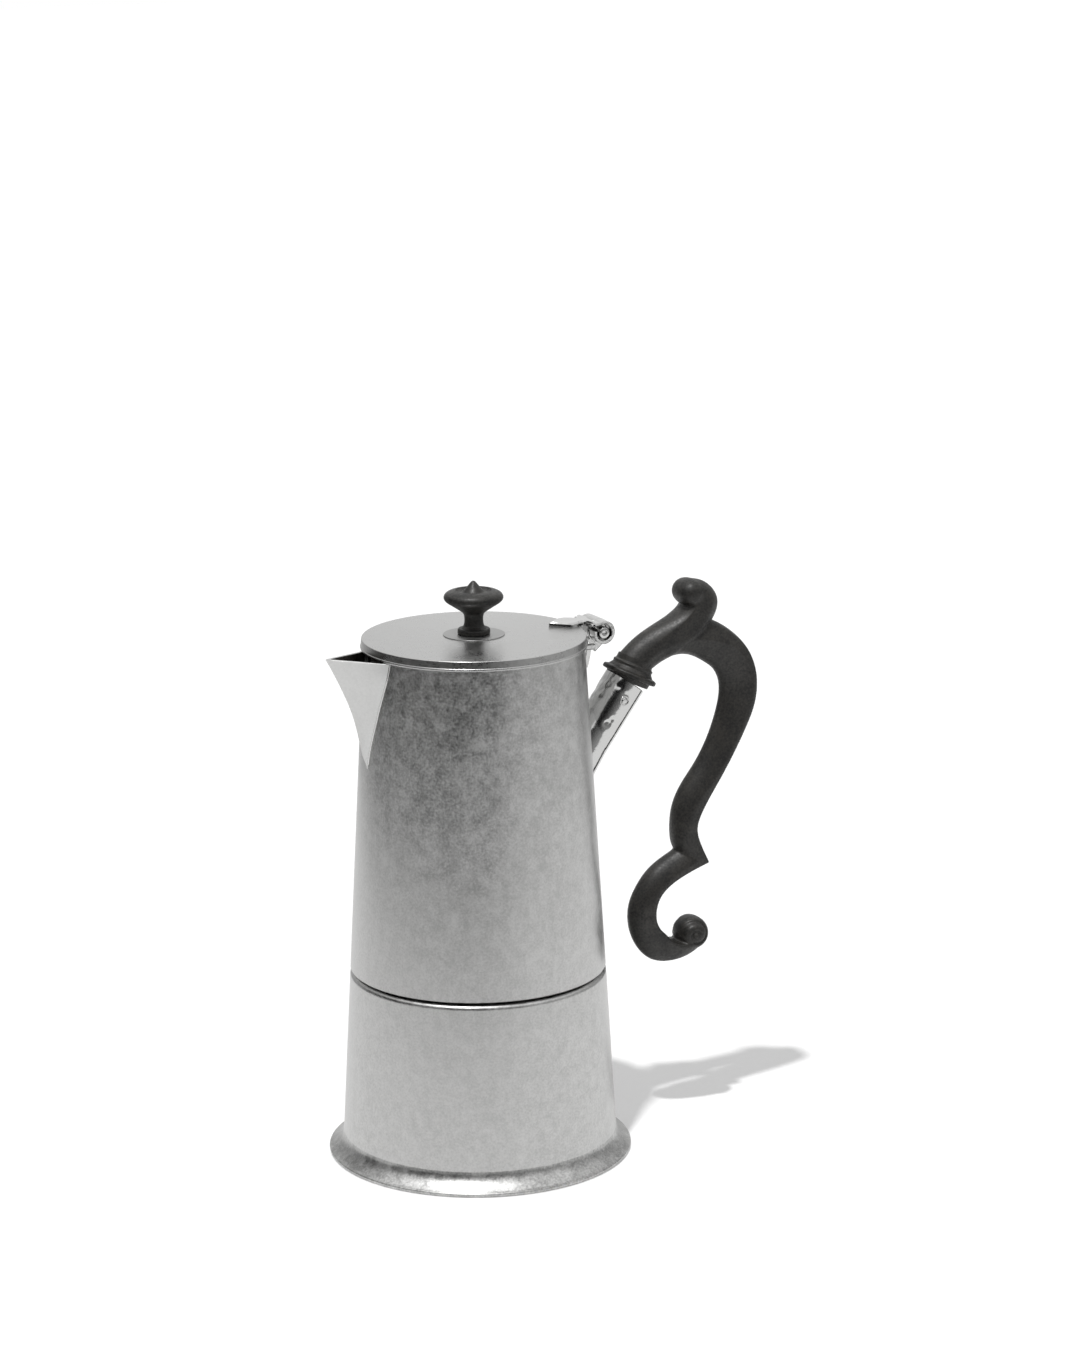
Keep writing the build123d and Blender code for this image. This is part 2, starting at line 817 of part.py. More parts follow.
def make_valve_washer():
    """Washer between the wall's pad and the valve's head."""
    inner = valve_shank_radius + running_clearance
    return valve_frame * ring(inner, valve_washer_radius, 0, valve_washer_thickness)


def make_valve_nut():
    """Hexagonal nut on the housing's tail, inside the boiler."""
    high = -valve_pad_proud - valve_pad_depth
    nut = extrude(RegularPolygon(valve_hex / 2, 6, major_radius=False), -valve_nut_thickness)
    bore = rod(valve_shank_radius + running_clearance, high - valve_nut_thickness, high)
    return valve_frame * (Pos(0, 0, high) * nut - bore)


def make_valve_plunger():
    """Plunger with its head on the seat and its stem out through the cap."""
    seat = valve_seat_top + running_clearance
    tip = valve_washer_thickness + valve_head + plunger_proud
    head = rod(plunger_head_radius, seat, seat + plunger_head_thickness)
    return valve_frame * (head + rod(plunger_stem_radius, seat, tip))


def make_valve_spring():
    """Spring between the plunger's head and the cap."""
    wire = spring_wire_radius + running_clearance
    low = valve_seat_top + running_clearance + plunger_head_thickness + wire
    high = valve_washer_thickness + valve_head - valve_cap_thickness - wire
    path = Helix((high - low) / spring_turns, high - low, spring_radius)
    section = Plane(origin=path @ 0, x_dir=(1, 0, 0), z_dir=path % 0)
    coil = sweep(section * Circle(spring_wire_radius), path, is_frenet=True)
    return valve_frame * Pos(0, 0, low) * coil


def make_valve_cap():
    """Ring pressed into the housing over the spring."""
    top = valve_washer_thickness + valve_head
    hole = plunger_stem_radius + 2 * running_clearance
    return valve_frame * ring(hole, valve_cap_radius, top - valve_cap_thickness, top)


def make_socket_top():
    """Centre of the socket's open end."""
    lean = math.radians(socket_lean)
    root = cone_radius(socket_root_height)
    return Vector(
        root + socket_length * math.sin(lean),
        0,
        socket_root_height + socket_length * math.cos(lean),
    )


socket_top = make_socket_top()
socket_frame = Plane(
    origin=socket_top,
    x_dir=(0, 1, 0),
    z_dir=(math.sin(math.radians(socket_lean)), 0, math.cos(math.radians(socket_lean))),
)
valve_frame = Plane(
    origin=(0, cone_radius(valve_height) + valve_pad_proud, valve_height),
    x_dir=(1, 0, 0),
    z_dir=(0, 1, 0),
)
valve_seat_top = valve_seat_thickness - (
    valve_pad_proud + valve_pad_depth + valve_nut_thickness + valve_tail
)
screw_tip = lid_top - lid_thickness - knob_washer_thickness + screw_length
notch = (20.2, -66.1)
spur = (32.3, -71.5)
thumb_roll_centre = (25.6, 30.4)
scroll_roll_centre = (26.6, -98.6)

pieces = {
    "boiler_shell": make_boiler_shell,
    "boiler_floor": make_boiler_floor,
    "boiler_shoulder": make_boiler_shoulder,
    "foot_ring": make_foot_ring,
    "boiler_neck": make_boiler_neck,
    "valve_body": make_valve_body,
    "valve_washer": make_valve_washer,
    "valve_nut": make_valve_nut,
    "valve_plunger": make_valve_plunger,
    "valve_spring": make_valve_spring,
    "valve_cap": make_valve_cap,
    "basket_cup": make_basket_cup,
    "basket_funnel": make_basket_funnel,
    "basket_sieve": make_basket_sieve,
    "funnel_tube": make_funnel_tube,
    "gasket": make_gasket,
    "filter_plate": make_filter_plate,
    "chamber_floor": make_chamber_floor,
    "threaded_skirt": make_threaded_skirt,
    "upper_chamber": make_upper_chamber,
    "coffee_column": make_coffee_column,
    "column_cap": make_column_cap,
    "spout": make_spout,
    "lid_plate": make_lid_plate,
    "lid_locating_ring": make_lid_locating_ring,
    "knob_rosette": make_knob_rosette,
    "lid_knob": make_lid_knob,
    "knob_screw": make_knob_screw,
    "knob_washer": make_knob_washer,
    "hinge_leaf": make_hinge_leaf,
    "hinge_bracket": make_hinge_bracket,
    "hinge_pin": make_hinge_pin,
    "handle_socket": make_handle_socket,
    "handle": make_handle,
    "handle_pin": make_handle_pin,
}

os.makedirs("parts", exist_ok=True)
for name, make in pieces.items():
    export_step(make(), f"parts/{name}.step")
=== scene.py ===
# %% [markdown]
# # A stovetop espresso maker, dressed
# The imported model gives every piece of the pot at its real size. This lesson leaves those pieces where
# they are and gives each one that shows a surface worked out with numpy and a procedural finish.
# All lengths are in millimetres until a piece becomes a mesh.

# %% Load the frame
import json
import math

import bmesh
import bpy
import numpy as np
from mathutils import Matrix, Vector

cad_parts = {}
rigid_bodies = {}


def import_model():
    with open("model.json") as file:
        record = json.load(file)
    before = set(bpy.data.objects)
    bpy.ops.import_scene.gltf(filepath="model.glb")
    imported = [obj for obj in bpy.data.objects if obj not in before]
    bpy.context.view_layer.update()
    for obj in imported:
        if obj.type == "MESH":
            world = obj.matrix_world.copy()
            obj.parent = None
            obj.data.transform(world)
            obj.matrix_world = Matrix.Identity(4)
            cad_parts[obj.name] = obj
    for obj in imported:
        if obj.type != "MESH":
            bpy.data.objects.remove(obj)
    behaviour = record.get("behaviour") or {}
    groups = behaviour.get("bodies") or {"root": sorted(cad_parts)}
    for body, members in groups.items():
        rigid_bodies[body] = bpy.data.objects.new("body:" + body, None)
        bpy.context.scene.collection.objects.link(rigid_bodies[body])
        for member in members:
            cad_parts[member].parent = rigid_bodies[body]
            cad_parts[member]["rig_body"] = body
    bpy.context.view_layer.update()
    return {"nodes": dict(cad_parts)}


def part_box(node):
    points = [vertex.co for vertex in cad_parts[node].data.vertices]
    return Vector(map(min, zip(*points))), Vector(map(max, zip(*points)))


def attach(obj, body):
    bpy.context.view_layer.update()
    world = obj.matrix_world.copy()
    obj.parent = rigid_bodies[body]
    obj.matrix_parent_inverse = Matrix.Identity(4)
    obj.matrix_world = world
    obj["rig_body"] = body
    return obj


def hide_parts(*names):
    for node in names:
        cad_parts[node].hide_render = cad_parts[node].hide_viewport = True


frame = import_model()
MM = 0.001
print("nodes in the frame:", len(frame["nodes"]))

# %% [markdown]
# ## Colours and shader nodes
# Colours are written as the eye sees them, in sRGB hex, and turned to linear light by one function. Linear
# numbers could be typed in, but a grey is hard to read from them. One more small function adds any shader
# node with its settings and links.


# %% Colour and node helpers
def linear(colour):
    """sRGB hex to linear: below 0.04045 divide by 12.92, else ((c + 0.055) / 1.055) to the power 2.4."""
    srgb = np.array([int(colour[i : i + 2], 16) for i in (1, 3, 5)]) / 255
    low, high = srgb / 12.92, ((srgb + 0.055) / 1.055) ** 2.4
    return (*np.where(srgb <= 0.04045, low, high), 1.0)


def add(tree, kind, inputs=(), **settings):
    """Adds one shader node: settings are its properties, inputs its sockets, as values or as links."""
    made = tree.nodes.new("ShaderNode" + kind)
    for key, value in settings.items():
        setattr(made, key, value)
    for key, value in dict(inputs).items():
        if isinstance(value, bpy.types.NodeSocket):
            tree.links.new(value, made.inputs[key])
        else:
            made.inputs[key].default_value = value
    return made


def empty_tree(owner):
    """The node tree of a material or of the world, emptied."""
    owner.use_nodes = True
    owner.node_tree.nodes.clear()
    return owner.node_tree


def surface(tree, inputs):
    """A Principled shader with these inputs, linked to the material's output."""
    shader = add(tree, "BsdfPrincipled", inputs)
    add(tree, "OutputMaterial", {"Surface": shader.outputs["BSDF"]})


def place_mesh(name, mesh, material):
    """A new object at the origin that shows a mesh with one material."""
    mesh.materials.clear()
    mesh.materials.append(material)
    made = bpy.data.objects.new(name, mesh)
    bpy.context.scene.collection.objects.link(made)
    return made


# %% [markdown]
# ## The camera
# The photograph's camera was solved from the ellipses of the lid, the seam and the foot. The pot is turned
# 25 degrees, so the camera looks at the spout and the handle a little from the front.

# %% Camera
CAMERA_TURN = 25.0  # degrees about Z between the view and the pot's own Y axis
CAMERA_PITCH = 13.60  # degrees below the horizon
CAMERA_ROLL = -0.50
CAMERA_BACK = 1342.58
CAMERA_SIDE = 23.28
CAMERA_HEIGHT = 500.86
FOCAL_PIXELS = 3888.3
IMAGE_HEIGHT = 1350
SENSOR = 36.0
turn_to_part = Matrix.Rotation(math.radians(-CAMERA_TURN), 3, "Z")

camera_data = bpy.data.cameras.new("camera")
camera_data.sensor_width = SENSOR
camera_data.lens = FOCAL_PIXELS / IMAGE_HEIGHT * SENSOR
camera = bpy.data.objects.new("camera", camera_data)
bpy.context.scene.collection.objects.link(camera)
look = Matrix.Rotation(math.radians(90 - CAMERA_PITCH), 3, "X")
look = look @ Matrix.Rotation(math.radians(CAMERA_ROLL), 3, "Z")
place = turn_to_part @ Vector((CAMERA_SIDE, -CAMERA_BACK, CAMERA_HEIGHT)) * MM
camera.matrix_world = Matrix.Translation(place) @ (turn_to_part @ look).to_4x4()
bpy.context.scene.camera = camera
print("lens in mm:", round(camera_data.lens, 1))

# %% [markdown]
# ## Floor and sky
# The photograph has a pure white ground with one soft shadow to the right and behind. A stronger lamp would
# make the paper white too, but it would bleach the pot. So the floor is lit like everything else, and a
# small lift, seen only directly, in reflections and through glass, brings it up to white.

# %% World and floor
bpy.context.scene.view_settings.view_transform = "Standard"
AMBIENT = 0.44  # the even part of the light on the object
FLOOR_LIFT = 0.25
FLOOR_REACH = 6000.0


def seen_directly(tree):
    """1 for a ray from the camera, a reflection or a passage through glass, else 0."""
    path = add(tree, "LightPath").outputs
    either = add(tree, "Math", {0: path["Is Camera Ray"], 1: path["Is Glossy Ray"]}, operation="MAXIMUM")
    either = add(tree, "Math", {0: either.outputs[0], 1: path["Is Transmission Ray"]}, operation="MAXIMUM")
    return either.outputs[0]


world = bpy.data.worlds.new("studio")
bpy.context.scene.world = world
tree = empty_tree(world)
strength = add(tree, "Mix", {"Factor": seen_directly(tree), "A": AMBIENT, "B": 1.0})
sky = add(tree, "Background", {"Color": linear("#ffffff"), "Strength": strength.outputs["Result"]})
add(tree, "OutputWorld", {"Surface": sky.outputs[0]})

floor_paper = bpy.data.materials.new("white_paper_floor")
tree = empty_tree(floor_paper)
lift = add(tree, "Math", {0: seen_directly(tree), 1: FLOOR_LIFT}, operation="MULTIPLY")
paper = add(tree, "BsdfDiffuse", {"Color": linear("#e6e6e6")})
glow = add(tree, "Emission", {"Color": linear("#ffffff"), "Strength": lift.outputs[0]})
both = add(tree, "AddShader", {0: paper.outputs[0], 1: glow.outputs[0]})
add(tree, "OutputMaterial", {"Surface": both.outputs[0]})

mesh = bpy.data.meshes.new("floor")
reach = FLOOR_REACH * MM
corners = [(-reach, -reach, 0), (reach, -reach, 0), (reach, reach, 0), (-reach, reach, 0)]
mesh.from_pydata(corners, [], [(0, 1, 2, 3)])
place_mesh("floor", mesh, floor_paper)
print("floor in metres:", 2 * reach)

# %% [markdown]
# ## The lamp, and the screen that the metal sees
# One sun stands high on the left in front, as far round as the photograph's shadow says. The tall wall is
# dark at the top and bright at the bottom: low down it mirrors the white floor close by, and higher up what
# stands past it. Painting that shade on the wall would look wrong from any other side. So a screen stands
# round the floor's middle, black in front, grey on the right and light behind, and only reflections see it.

# %% Sun and screen
KEY_AZIMUTH = 40.5  # degrees: the way the light travels, seen from above
KEY_HEIGHT = 71.0  # degrees above the floor
KEY_STRENGTH = 2.1
KEY_SPREAD = 2.2  # degrees: how soft the shadow's edge is
SCREEN_HEIGHT = 540.0
SCREEN_STEPS = 145
SCREEN_TONES = [  # degrees round from the camera, how light the screen is there, and how far away
    (-180, 1.00, 600),
    (-162, 0.78, 600),
    (-148, 0.58, 600),
    (-126, 0.40, 600),
    (-106, 0.04, 600),
    (12, 0.012, 620),
    (30, 0.15, 760),
    (48, 0.34, 860),
    (85, 0.44, 860),
    (120, 0.46, 760),
    (148, 0.58, 640),
    (162, 0.78, 600),
    (180, 1.00, 600),
]

lamp = bpy.data.lights.new("key", "SUN")
lamp.energy = KEY_STRENGTH
lamp.angle = math.radians(KEY_SPREAD)
key = bpy.data.objects.new("key", lamp)
bpy.context.scene.collection.objects.link(key)
azimuth, height = math.radians(KEY_AZIMUTH), math.radians(KEY_HEIGHT)
flat = math.cos(height)
travel = Vector((flat * math.cos(azimuth), flat * math.sin(azimuth), -math.sin(height)))
key.rotation_mode = "QUATERNION"
key.rotation_quaternion = travel.to_track_quat("-Z", "Y")

screen_paint = bpy.data.materials.new("studio_screen")
tree = empty_tree(screen_paint)
tone = add(tree, "Attribute", attribute_name="tone").outputs["Fac"]
glow = add(tree, "Emission", {"Color": linear("#ffffff"), "Strength": tone})
add(tree, "OutputMaterial", {"Surface": glow.outputs[0]})

around = np.linspace(-180, 180, SCREEN_STEPS)
azimuths = np.radians(around - 90 - CAMERA_TURN)
marks, lights, distances = np.array(SCREEN_TONES).T
distance = np.interp(around, marks, distances)[:, None]
foot_line = distance * np.stack([np.cos(azimuths), np.sin(azimuths), 0 * azimuths], -1)
points = np.concatenate([foot_line, foot_line + (0, 0, SCREEN_HEIGHT)])
low = np.arange(SCREEN_STEPS - 1)
quads = np.stack([low, low + 1, low + 1 + SCREEN_STEPS, low + SCREEN_STEPS], -1)
mesh = bpy.data.meshes.new("screen")
mesh.from_pydata(points * MM, [], quads.tolist())
tones = mesh.attributes.new("tone", "FLOAT", "POINT")
tones.data.foreach_set("value", np.tile(np.interp(around, marks, lights), 2))
screen = place_mesh("screen", mesh, screen_paint)
screen.visible_camera = screen.visible_diffuse = screen.visible_shadow = False
print("screen quads:", len(quads))

# %% [markdown]
# ## From a grid of points to a piece
# Every shape below is an array of points, rows by columns. Blender's screw and lathe tools would do for the
# turned pieces alone; a grid does for all of them. One function turns such grids into a mesh: it numbers the
# quads, merges the points that meet, turns the faces outwards and smooths all but sharp edges.

# %% Mesh helpers
MERGE = 2e-6  # metres: points nearer than this are one point
SPECK = 1e-7  # metres: an edge shorter than this goes
INWARD = 15.0  # a face is lining if its normal times its place is below minus this, in millimetres


def grid_faces(rows, columns, wrap_rows, wrap_columns):
    """Quads of a grid numbered row by row; a wrapped side joins its last line to its first."""
    row = np.arange(rows if wrap_rows else rows - 1)[:, None]
    column = np.arange(columns if wrap_columns else columns - 1)[None, :]
    here, below = row * columns, (row + 1) % rows * columns
    beside = (column + 1) % columns
    quads = [here + column, here + beside, below + beside, below + column]
    return np.stack(np.broadcast_arrays(*quads), -1).reshape(-1, 4)


def mesh_of(name, grids):
    """One mesh of several grids, each (points, wrap_rows, wrap_columns)."""
    points, faces, count = [], [], 0
    for grid, wrap_rows, wrap_columns in grids:
        rows, columns = grid.shape[:2]
        faces.append(grid_faces(rows, columns, wrap_rows, wrap_columns) + count)
        points.append(grid.reshape(-1, 3))
        count += rows * columns
    mesh = bpy.data.meshes.new(name)
    mesh.from_pydata(np.concatenate(points) * MM, [], np.concatenate(faces).tolist())
    return mesh


def finish_mesh(mesh, sharp=35.0):
    """Merges doubles, turns the faces outwards and keeps edges sharper than an angle."""
    work = bmesh.new()
    work.from_mesh(mesh)
    bmesh.ops.remove_doubles(work, verts=work.verts, dist=MERGE)
    bmesh.ops.dissolve_degenerate(work, edges=work.edges, dist=SPECK)
    bmesh.ops.recalc_face_normals(work, faces=work.faces)
    work.to_mesh(mesh)
    work.free()
    mesh.polygons.foreach_set("use_smooth", np.ones(len(mesh.polygons), bool))
    mesh.set_sharp_from_angle(angle=math.radians(sharp))


def piece(name, grids, body, material, replaced=(), sharp=35.0):
    """Grids, or a mesh, become a piece that rides on a body and may stand for CAD nodes."""
    mesh = grids if isinstance(grids, bpy.types.Mesh) else mesh_of(name, grids)
    finish_mesh(mesh, sharp)
    made = place_mesh(name, mesh, material)
    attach(made, body)
    if replaced:
        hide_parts(*replaced)
    print(name, "faces", len(mesh.polygons))
    return made


def line_inside(made, lining):
    """Faces that look towards the pot's axis get the lining: their normal times their place is negative."""
    mesh = made.data
    normal, centre = np.zeros((2, 3 * len(mesh.polygons)))
    mesh.polygons.foreach_get("normal", normal)
    mesh.polygons.foreach_get("center", centre)
    outward = (normal * centre).reshape(-1, 3)[:, :2].sum(1)
    mesh.materials.append(lining)
    mesh.polygons.foreach_set("material_index", (outward < -INWARD * MM).astype(np.int32))


# %% [markdown]
# ## Outlines
# Turned pieces need an outline with small rounds at its corners, because the bright line along an edge is
# what tells metal from a drawing of metal. A bevel modifier could round them, but it also cuts the shallow
# corners of a curve. Curved pieces need a smooth curve through a few points.

# %% Outline helpers
HOLD = 0.15  # how far outside an arc its holding point stands, as a share of the radius


def rounded(corners, closed=True, steps=6):
    """Outline through (a, b, radius) corners. Each corner is an arc tangent to both sides: its centre lies
    on the bisector, radius / sin(half the corner) away, and a holding point stands outside each arc end."""
    out = []
    count = len(corners)
    for i, (x, y, radius) in enumerate(corners):
        here = np.array((x, y), float)
        if radius == 0 or (not closed and i in (0, count - 1)):
            out.append(here[None])
            continue
        before = np.array(corners[i - 1][:2]) - here
        after = np.array(corners[(i + 1) % count][:2]) - here
        before /= np.linalg.norm(before)
        after /= np.linalg.norm(after)
        half = math.acos(np.clip(before @ after, -1, 1)) / 2
        reach = radius / math.tan(half)
        bisector = (before + after) / np.linalg.norm(before + after)
        centre = here + bisector * radius / math.sin(half)
        start, end = here + before * reach - centre, here + after * reach - centre
        share = np.linspace(0, 1, steps)[:, None]
        sweep = math.pi - 2 * half
        arc = (np.sin((1 - share) * sweep) * start + np.sin(share * sweep) * end) / math.sin(sweep) + centre
        hold = HOLD * radius
        out.append(np.concatenate([[here + before * (reach + hold)], arc, [here + after * (reach + hold)]]))
    return np.concatenate(out)


def spline(points, count):
    """Natural cubic through the points, by chord length: the second slopes solve one linear system."""
    p = np.asarray(points, float)
    stops = np.concatenate([[0], np.cumsum(np.linalg.norm(np.diff(p, axis=0), axis=1))])
    gaps = np.diff(stops)
    last = len(gaps)
    system, right = np.zeros((last + 1, last + 1)), np.zeros_like(p)
    system[0, 0] = system[-1, -1] = 1
    i = np.arange(1, last)
    system[i, i - 1] = gaps[i - 1]
    system[i, i] = 2 * (gaps[i - 1] + gaps[i])
    system[i, i + 1] = gaps[i]
    right[i] = 6 * ((p[i + 1] - p[i]) / gaps[i, None] - (p[i] - p[i - 1]) / gaps[i - 1, None])
    bend = np.linalg.solve(system, right)
    along = np.linspace(0, stops[-1], count)
    k = np.clip(np.searchsorted(stops, along) - 1, 0, last - 1)
    to_next, from_last = (stops[k + 1] - along)[:, None], (along - stops[k])[:, None]
    gap = gaps[k][:, None]
    curve = (bend[k] * to_next**3 + bend[k + 1] * from_last**3) / (6 * gap)
    curve = curve + (p[k] / gap - bend[k] * gap / 6) * to_next
    return curve + (p[k + 1] / gap - bend[k + 1] * gap / 6) * from_last


def turn(outline, columns):
    """Surface of revolution about Z: (r, z) goes to (r cos a, r sin a, z)."""
    angle = np.linspace(0, 2 * np.pi, columns, endpoint=False)[None, :]
    r, z = outline[:, 0][:, None], outline[:, 1][:, None]
    return np.stack([r * np.cos(angle), r * np.sin(angle), z + 0 * angle], -1)


def frame_grid(grid, origin, x_axis, z_axis):
    """Moves a grid drawn about its own Z onto a place and direction: origin + x X + y Y + z Z."""
    x, z = np.array(x_axis, float), np.array(z_axis, float)
    y = np.cross(z, x)
    return origin + grid[..., :1] * x + grid[..., 1:2] * y + grid[..., 2:] * z


def closed_ends(grid):
    """Adds a first and a last row that lie at the middle of their neighbours, so both ends are closed."""
    ends = [grid[i].mean(0, keepdims=True).repeat(grid.shape[1], 0)[None] for i in (0, -1)]
    return np.concatenate([ends[0], grid, ends[1]])


# %% [markdown]
# ## Sizes from the frame
# Both vessels share one cone. Its slope comes from the boxes of the two shells, and the rest hangs on it.


# %% Sizes
def node_box(name):
    """Lowest and highest corner of a CAD node, in millimetres."""
    return [np.array(corner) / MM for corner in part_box(name)]


shell_high = node_box("boiler_shell")[1]
upper_low, upper_high = node_box("upper_chamber")
FLOOR_RADIUS = shell_high[0]
SEAM = shell_high[2]
RIM = upper_high[2]
SLOPE = (shell_high[0] - upper_high[0]) / upper_low[2]


def cone(z):
    """Outer radius of the shared cone at height z: it falls evenly from the floor up."""
    return FLOOR_RADIUS - SLOPE * z


print("cone radius at the rim:", round(float(cone(RIM)), 2))

# %% [markdown]
# ## Metal finishes
# The vessels are a soft grey aluminium alloy, rubbed by hand: cloudy patches a few millimetres across, faint
# upright streaks from the cloth, and a fine grain. They could be painted as colour alone, but real rubbing
# changes the gloss more than the colour, so it shows most where the metal mirrors the edge between light and
# dark. So four layers of noise add up to one pattern, which moves both.

# %% Satin vessel metal
CLOUD = 16.0  # millimetres across a dark patch
PATCH = 4.0
STREAK = 3.0  # wide, and 1 / STREAK_RISE times as tall
STREAK_RISE = 0.08
GRAIN = 0.8  # coarser than real rubbing marks, so that it still shows
CLOUD_SHARE, STREAK_SHARE, GRAIN_SHARE = 0.6, 0.2, 1.4  # against 1 for the patches
LIGHTEST, DARKEST = 1.28, 1.92  # sums of the layers where the metal is lightest and darkest
RUB_DEPTH = 0.05


def satin_metal(name, light, dark, rough_low, rough_high):
    """Hand-rubbed aluminium: the layers' sum mixes two tones and two roughnesses, and moves the normal."""
    material = bpy.data.materials.new(name)
    tree = empty_tree(material)
    where = add(tree, "TexCoord").outputs["Object"]
    drawn = add(tree, "Mapping", {"Vector": where, "Scale": (1.0, 1.0, STREAK_RISE)}).outputs[0]
    patch = {"Vector": where, "Scale": 1 / (PATCH * MM), "Detail": 4.0, "Roughness": 0.65}
    cloud = {"Vector": where, "Scale": 1 / (CLOUD * MM), "Detail": 5.0, "Roughness": 0.6}
    streak = {"Vector": drawn, "Scale": 1 / (STREAK * MM), "Detail": 3.0}
    grain = {"Vector": where, "Scale": 1 / (GRAIN * MM), "Detail": 3.0, "Roughness": 0.6}
    total = add(tree, "TexNoise", patch).outputs["Fac"]
    for layer, share in ((cloud, CLOUD_SHARE), (streak, STREAK_SHARE), (grain, GRAIN_SHARE)):
        noise = add(tree, "TexNoise", layer).outputs["Fac"]
        total = add(tree, "Math", {0: noise, 1: share, 2: total}, operation="MULTIPLY_ADD").outputs[0]
    spread = add(tree, "MapRange", {"Value": total, "From Min": LIGHTEST, "From Max": DARKEST}).outputs[0]
    ends = {"Factor": spread, "A": linear(light), "B": linear(dark)}
    tone = add(tree, "Mix", ends, data_type="RGBA")
    rough = add(tree, "MapRange", {"Value": spread, "To Min": rough_high, "To Max": rough_low})
    bump = add(tree, "Bump", {"Height": total, "Strength": 0.15, "Distance": RUB_DEPTH * MM})
    finish = {"Base Color": tone.outputs["Result"], "Roughness": rough.outputs[0], "Normal": bump.outputs[0]}
    surface(tree, {**finish, "Metallic": 1.0})
    return material


# Drawn and hand-rubbed: the eye sees wide soft reflections, broken up by cloudy stains.
WALL_METAL = satin_metal("satin_aluminium", "#cbcbca", "#adadac", 0.28, 0.46)
# The same metal with less wear: a calm, even grey plate.
LID_METAL = satin_metal("satin_aluminium_lid", "#b9b9b8", "#aeaead", 0.26, 0.36)
# Brushed sheet: a shade darker and duller than the lid round it.
ROSETTE_METAL = satin_metal("brushed_aluminium_disc", "#a6a6a5", "#9a9a99", 0.34, 0.44)
# Turned on the lathe and never rubbed: plain grey inner faces.
INNER = satin_metal("turned_aluminium", "#bdbdbc", "#a8a8a7", 0.32, 0.42)
# Handled and scuffed most: the strongest mottling on the pot.
FOOT_METAL = satin_metal("rubbed_aluminium_foot", "#cbcbca", "#989897", 0.32, 0.50)
# Burnished sheet: bright, with hardly a stain.
SPOUT_METAL = satin_metal("burnished_aluminium", "#c9c9c8", "#c0c0bf", 0.28, 0.36)
# Painted shade: an almost black brown that stands in for the shade in the seam and inside the pot, and kills
# the reflections there.
SHADE_PAINTED_METAL = satin_metal("painted_shade_aluminium", "#4a4744", "#2c2a28", 0.45, 0.60)
print("satin metals done")

# %% [markdown]
# ## Polished fittings
# The hinge, the socket and the rivet are the same alloy, filed and polished by hand. They mirror the room
# sharply and break it up in small dents. The smallest dents could be modelled, but they are a tenth of a
# millimetre deep, and a bump shows them as well. Bright steel and brass come from the same function.

# %% Polished metals
DENT = 2.5  # millimetres across a dent
HAZE = 0.6  # millimetres across a spot of haze


def polished_metal(name, colour, rough, dent):
    """Polished metal with the small dents of hand work: one noise moves the normal, a finer one the gloss."""
    material = bpy.data.materials.new(name)
    tree = empty_tree(material)
    where = add(tree, "TexCoord").outputs["Object"]
    dents = add(tree, "TexNoise", {"Vector": where, "Scale": 1 / (DENT * MM), "Detail": 2.0}).outputs["Fac"]
    haze = add(tree, "TexNoise", {"Vector": where, "Scale": 1 / (HAZE * MM), "Detail": 3.0}).outputs["Fac"]
    matt = add(tree, "MapRange", {"Value": haze, "To Min": rough * 0.7, "To Max": rough * 1.4})
    bump = add(tree, "Bump", {"Height": dents, "Strength": 0.5, "Distance": dent * MM})
    finish = {"Base Color": linear(colour), "Roughness": matt.outputs[0], "Normal": bump.outputs[0]}
    surface(tree, {**finish, "Metallic": 1.0})
    return material


# Filed and polished: sharp black and white reflections with wavy edges.
POLISHED = polished_metal("polished_aluminium", "#c4c4c3", 0.13, 0.10)
# Rolled and cut: a cool, even shine.
STEEL = polished_metal("bright_steel", "#b9b9b8", 0.25, 0.03)
# Turned from bar: a warm yellow shine.
BRASS = polished_metal("turned_brass", "#c9a15c", 0.28, 0.03)
print("polished metals done")

# %% [markdown]
# ## Black handle, rubber and fibre
# The knob and the handle are dull black plastic, turned and carved, with a grey bloom from use. One black
# would look like a hole in the picture, so clouds and a fine grain mix two tones and change the gloss.
# Rubber and fibre need the same two layers, in other colours.

# %% Dull solids
BLOOM = 7.0  # millimetres across a cloud
BLOOM_LOW, BLOOM_HIGH = 0.78, 1.25  # sums of the two layers at the darker and at the lighter tone
GLOSS_SWING = 0.08


def dull_solid(name, light, dark, rough, grain_mm, ior):
    """Dull solid material: clouds and a fine grain mix two tones and move the roughness and the normal."""
    material = bpy.data.materials.new(name)
    tree = empty_tree(material)
    where = add(tree, "TexCoord").outputs["Object"]
    bloom = {"Vector": where, "Scale": 1 / (BLOOM * MM), "Detail": 5.0, "Roughness": 0.6}
    cloud = add(tree, "TexNoise", bloom).outputs["Fac"]
    grain = add(tree, "TexNoise", {"Vector": where, "Scale": 1 / (grain_mm * MM), "Detail": 3.0})
    total = add(tree, "Math", {0: cloud, 1: grain.outputs["Fac"]}, operation="ADD").outputs[0]
    spread = add(tree, "MapRange", {"Value": total, "From Min": BLOOM_LOW, "From Max": BLOOM_HIGH}).outputs[0]
    ends = {"Factor": spread, "A": linear(dark), "B": linear(light)}
    tone = add(tree, "Mix", ends, data_type="RGBA")
    swing = {"Value": spread, "To Min": rough + GLOSS_SWING, "To Max": rough - GLOSS_SWING}
    matt = add(tree, "MapRange", swing)
    bump = add(tree, "Bump", {"Height": total, "Strength": 0.3, "Distance": 0.12 * MM})
    finish = {"Base Color": tone.outputs["Result"], "Roughness": matt.outputs[0], "Normal": bump.outputs[0]}
    surface(tree, {**finish, "IOR": ior})
    return material


# Carved and rubbed nylon: a dusty black with soft broad highlights.
BLACK = dull_solid("carved_black_nylon", "#33312e", "#121211", 0.46, 0.8, 1.45)
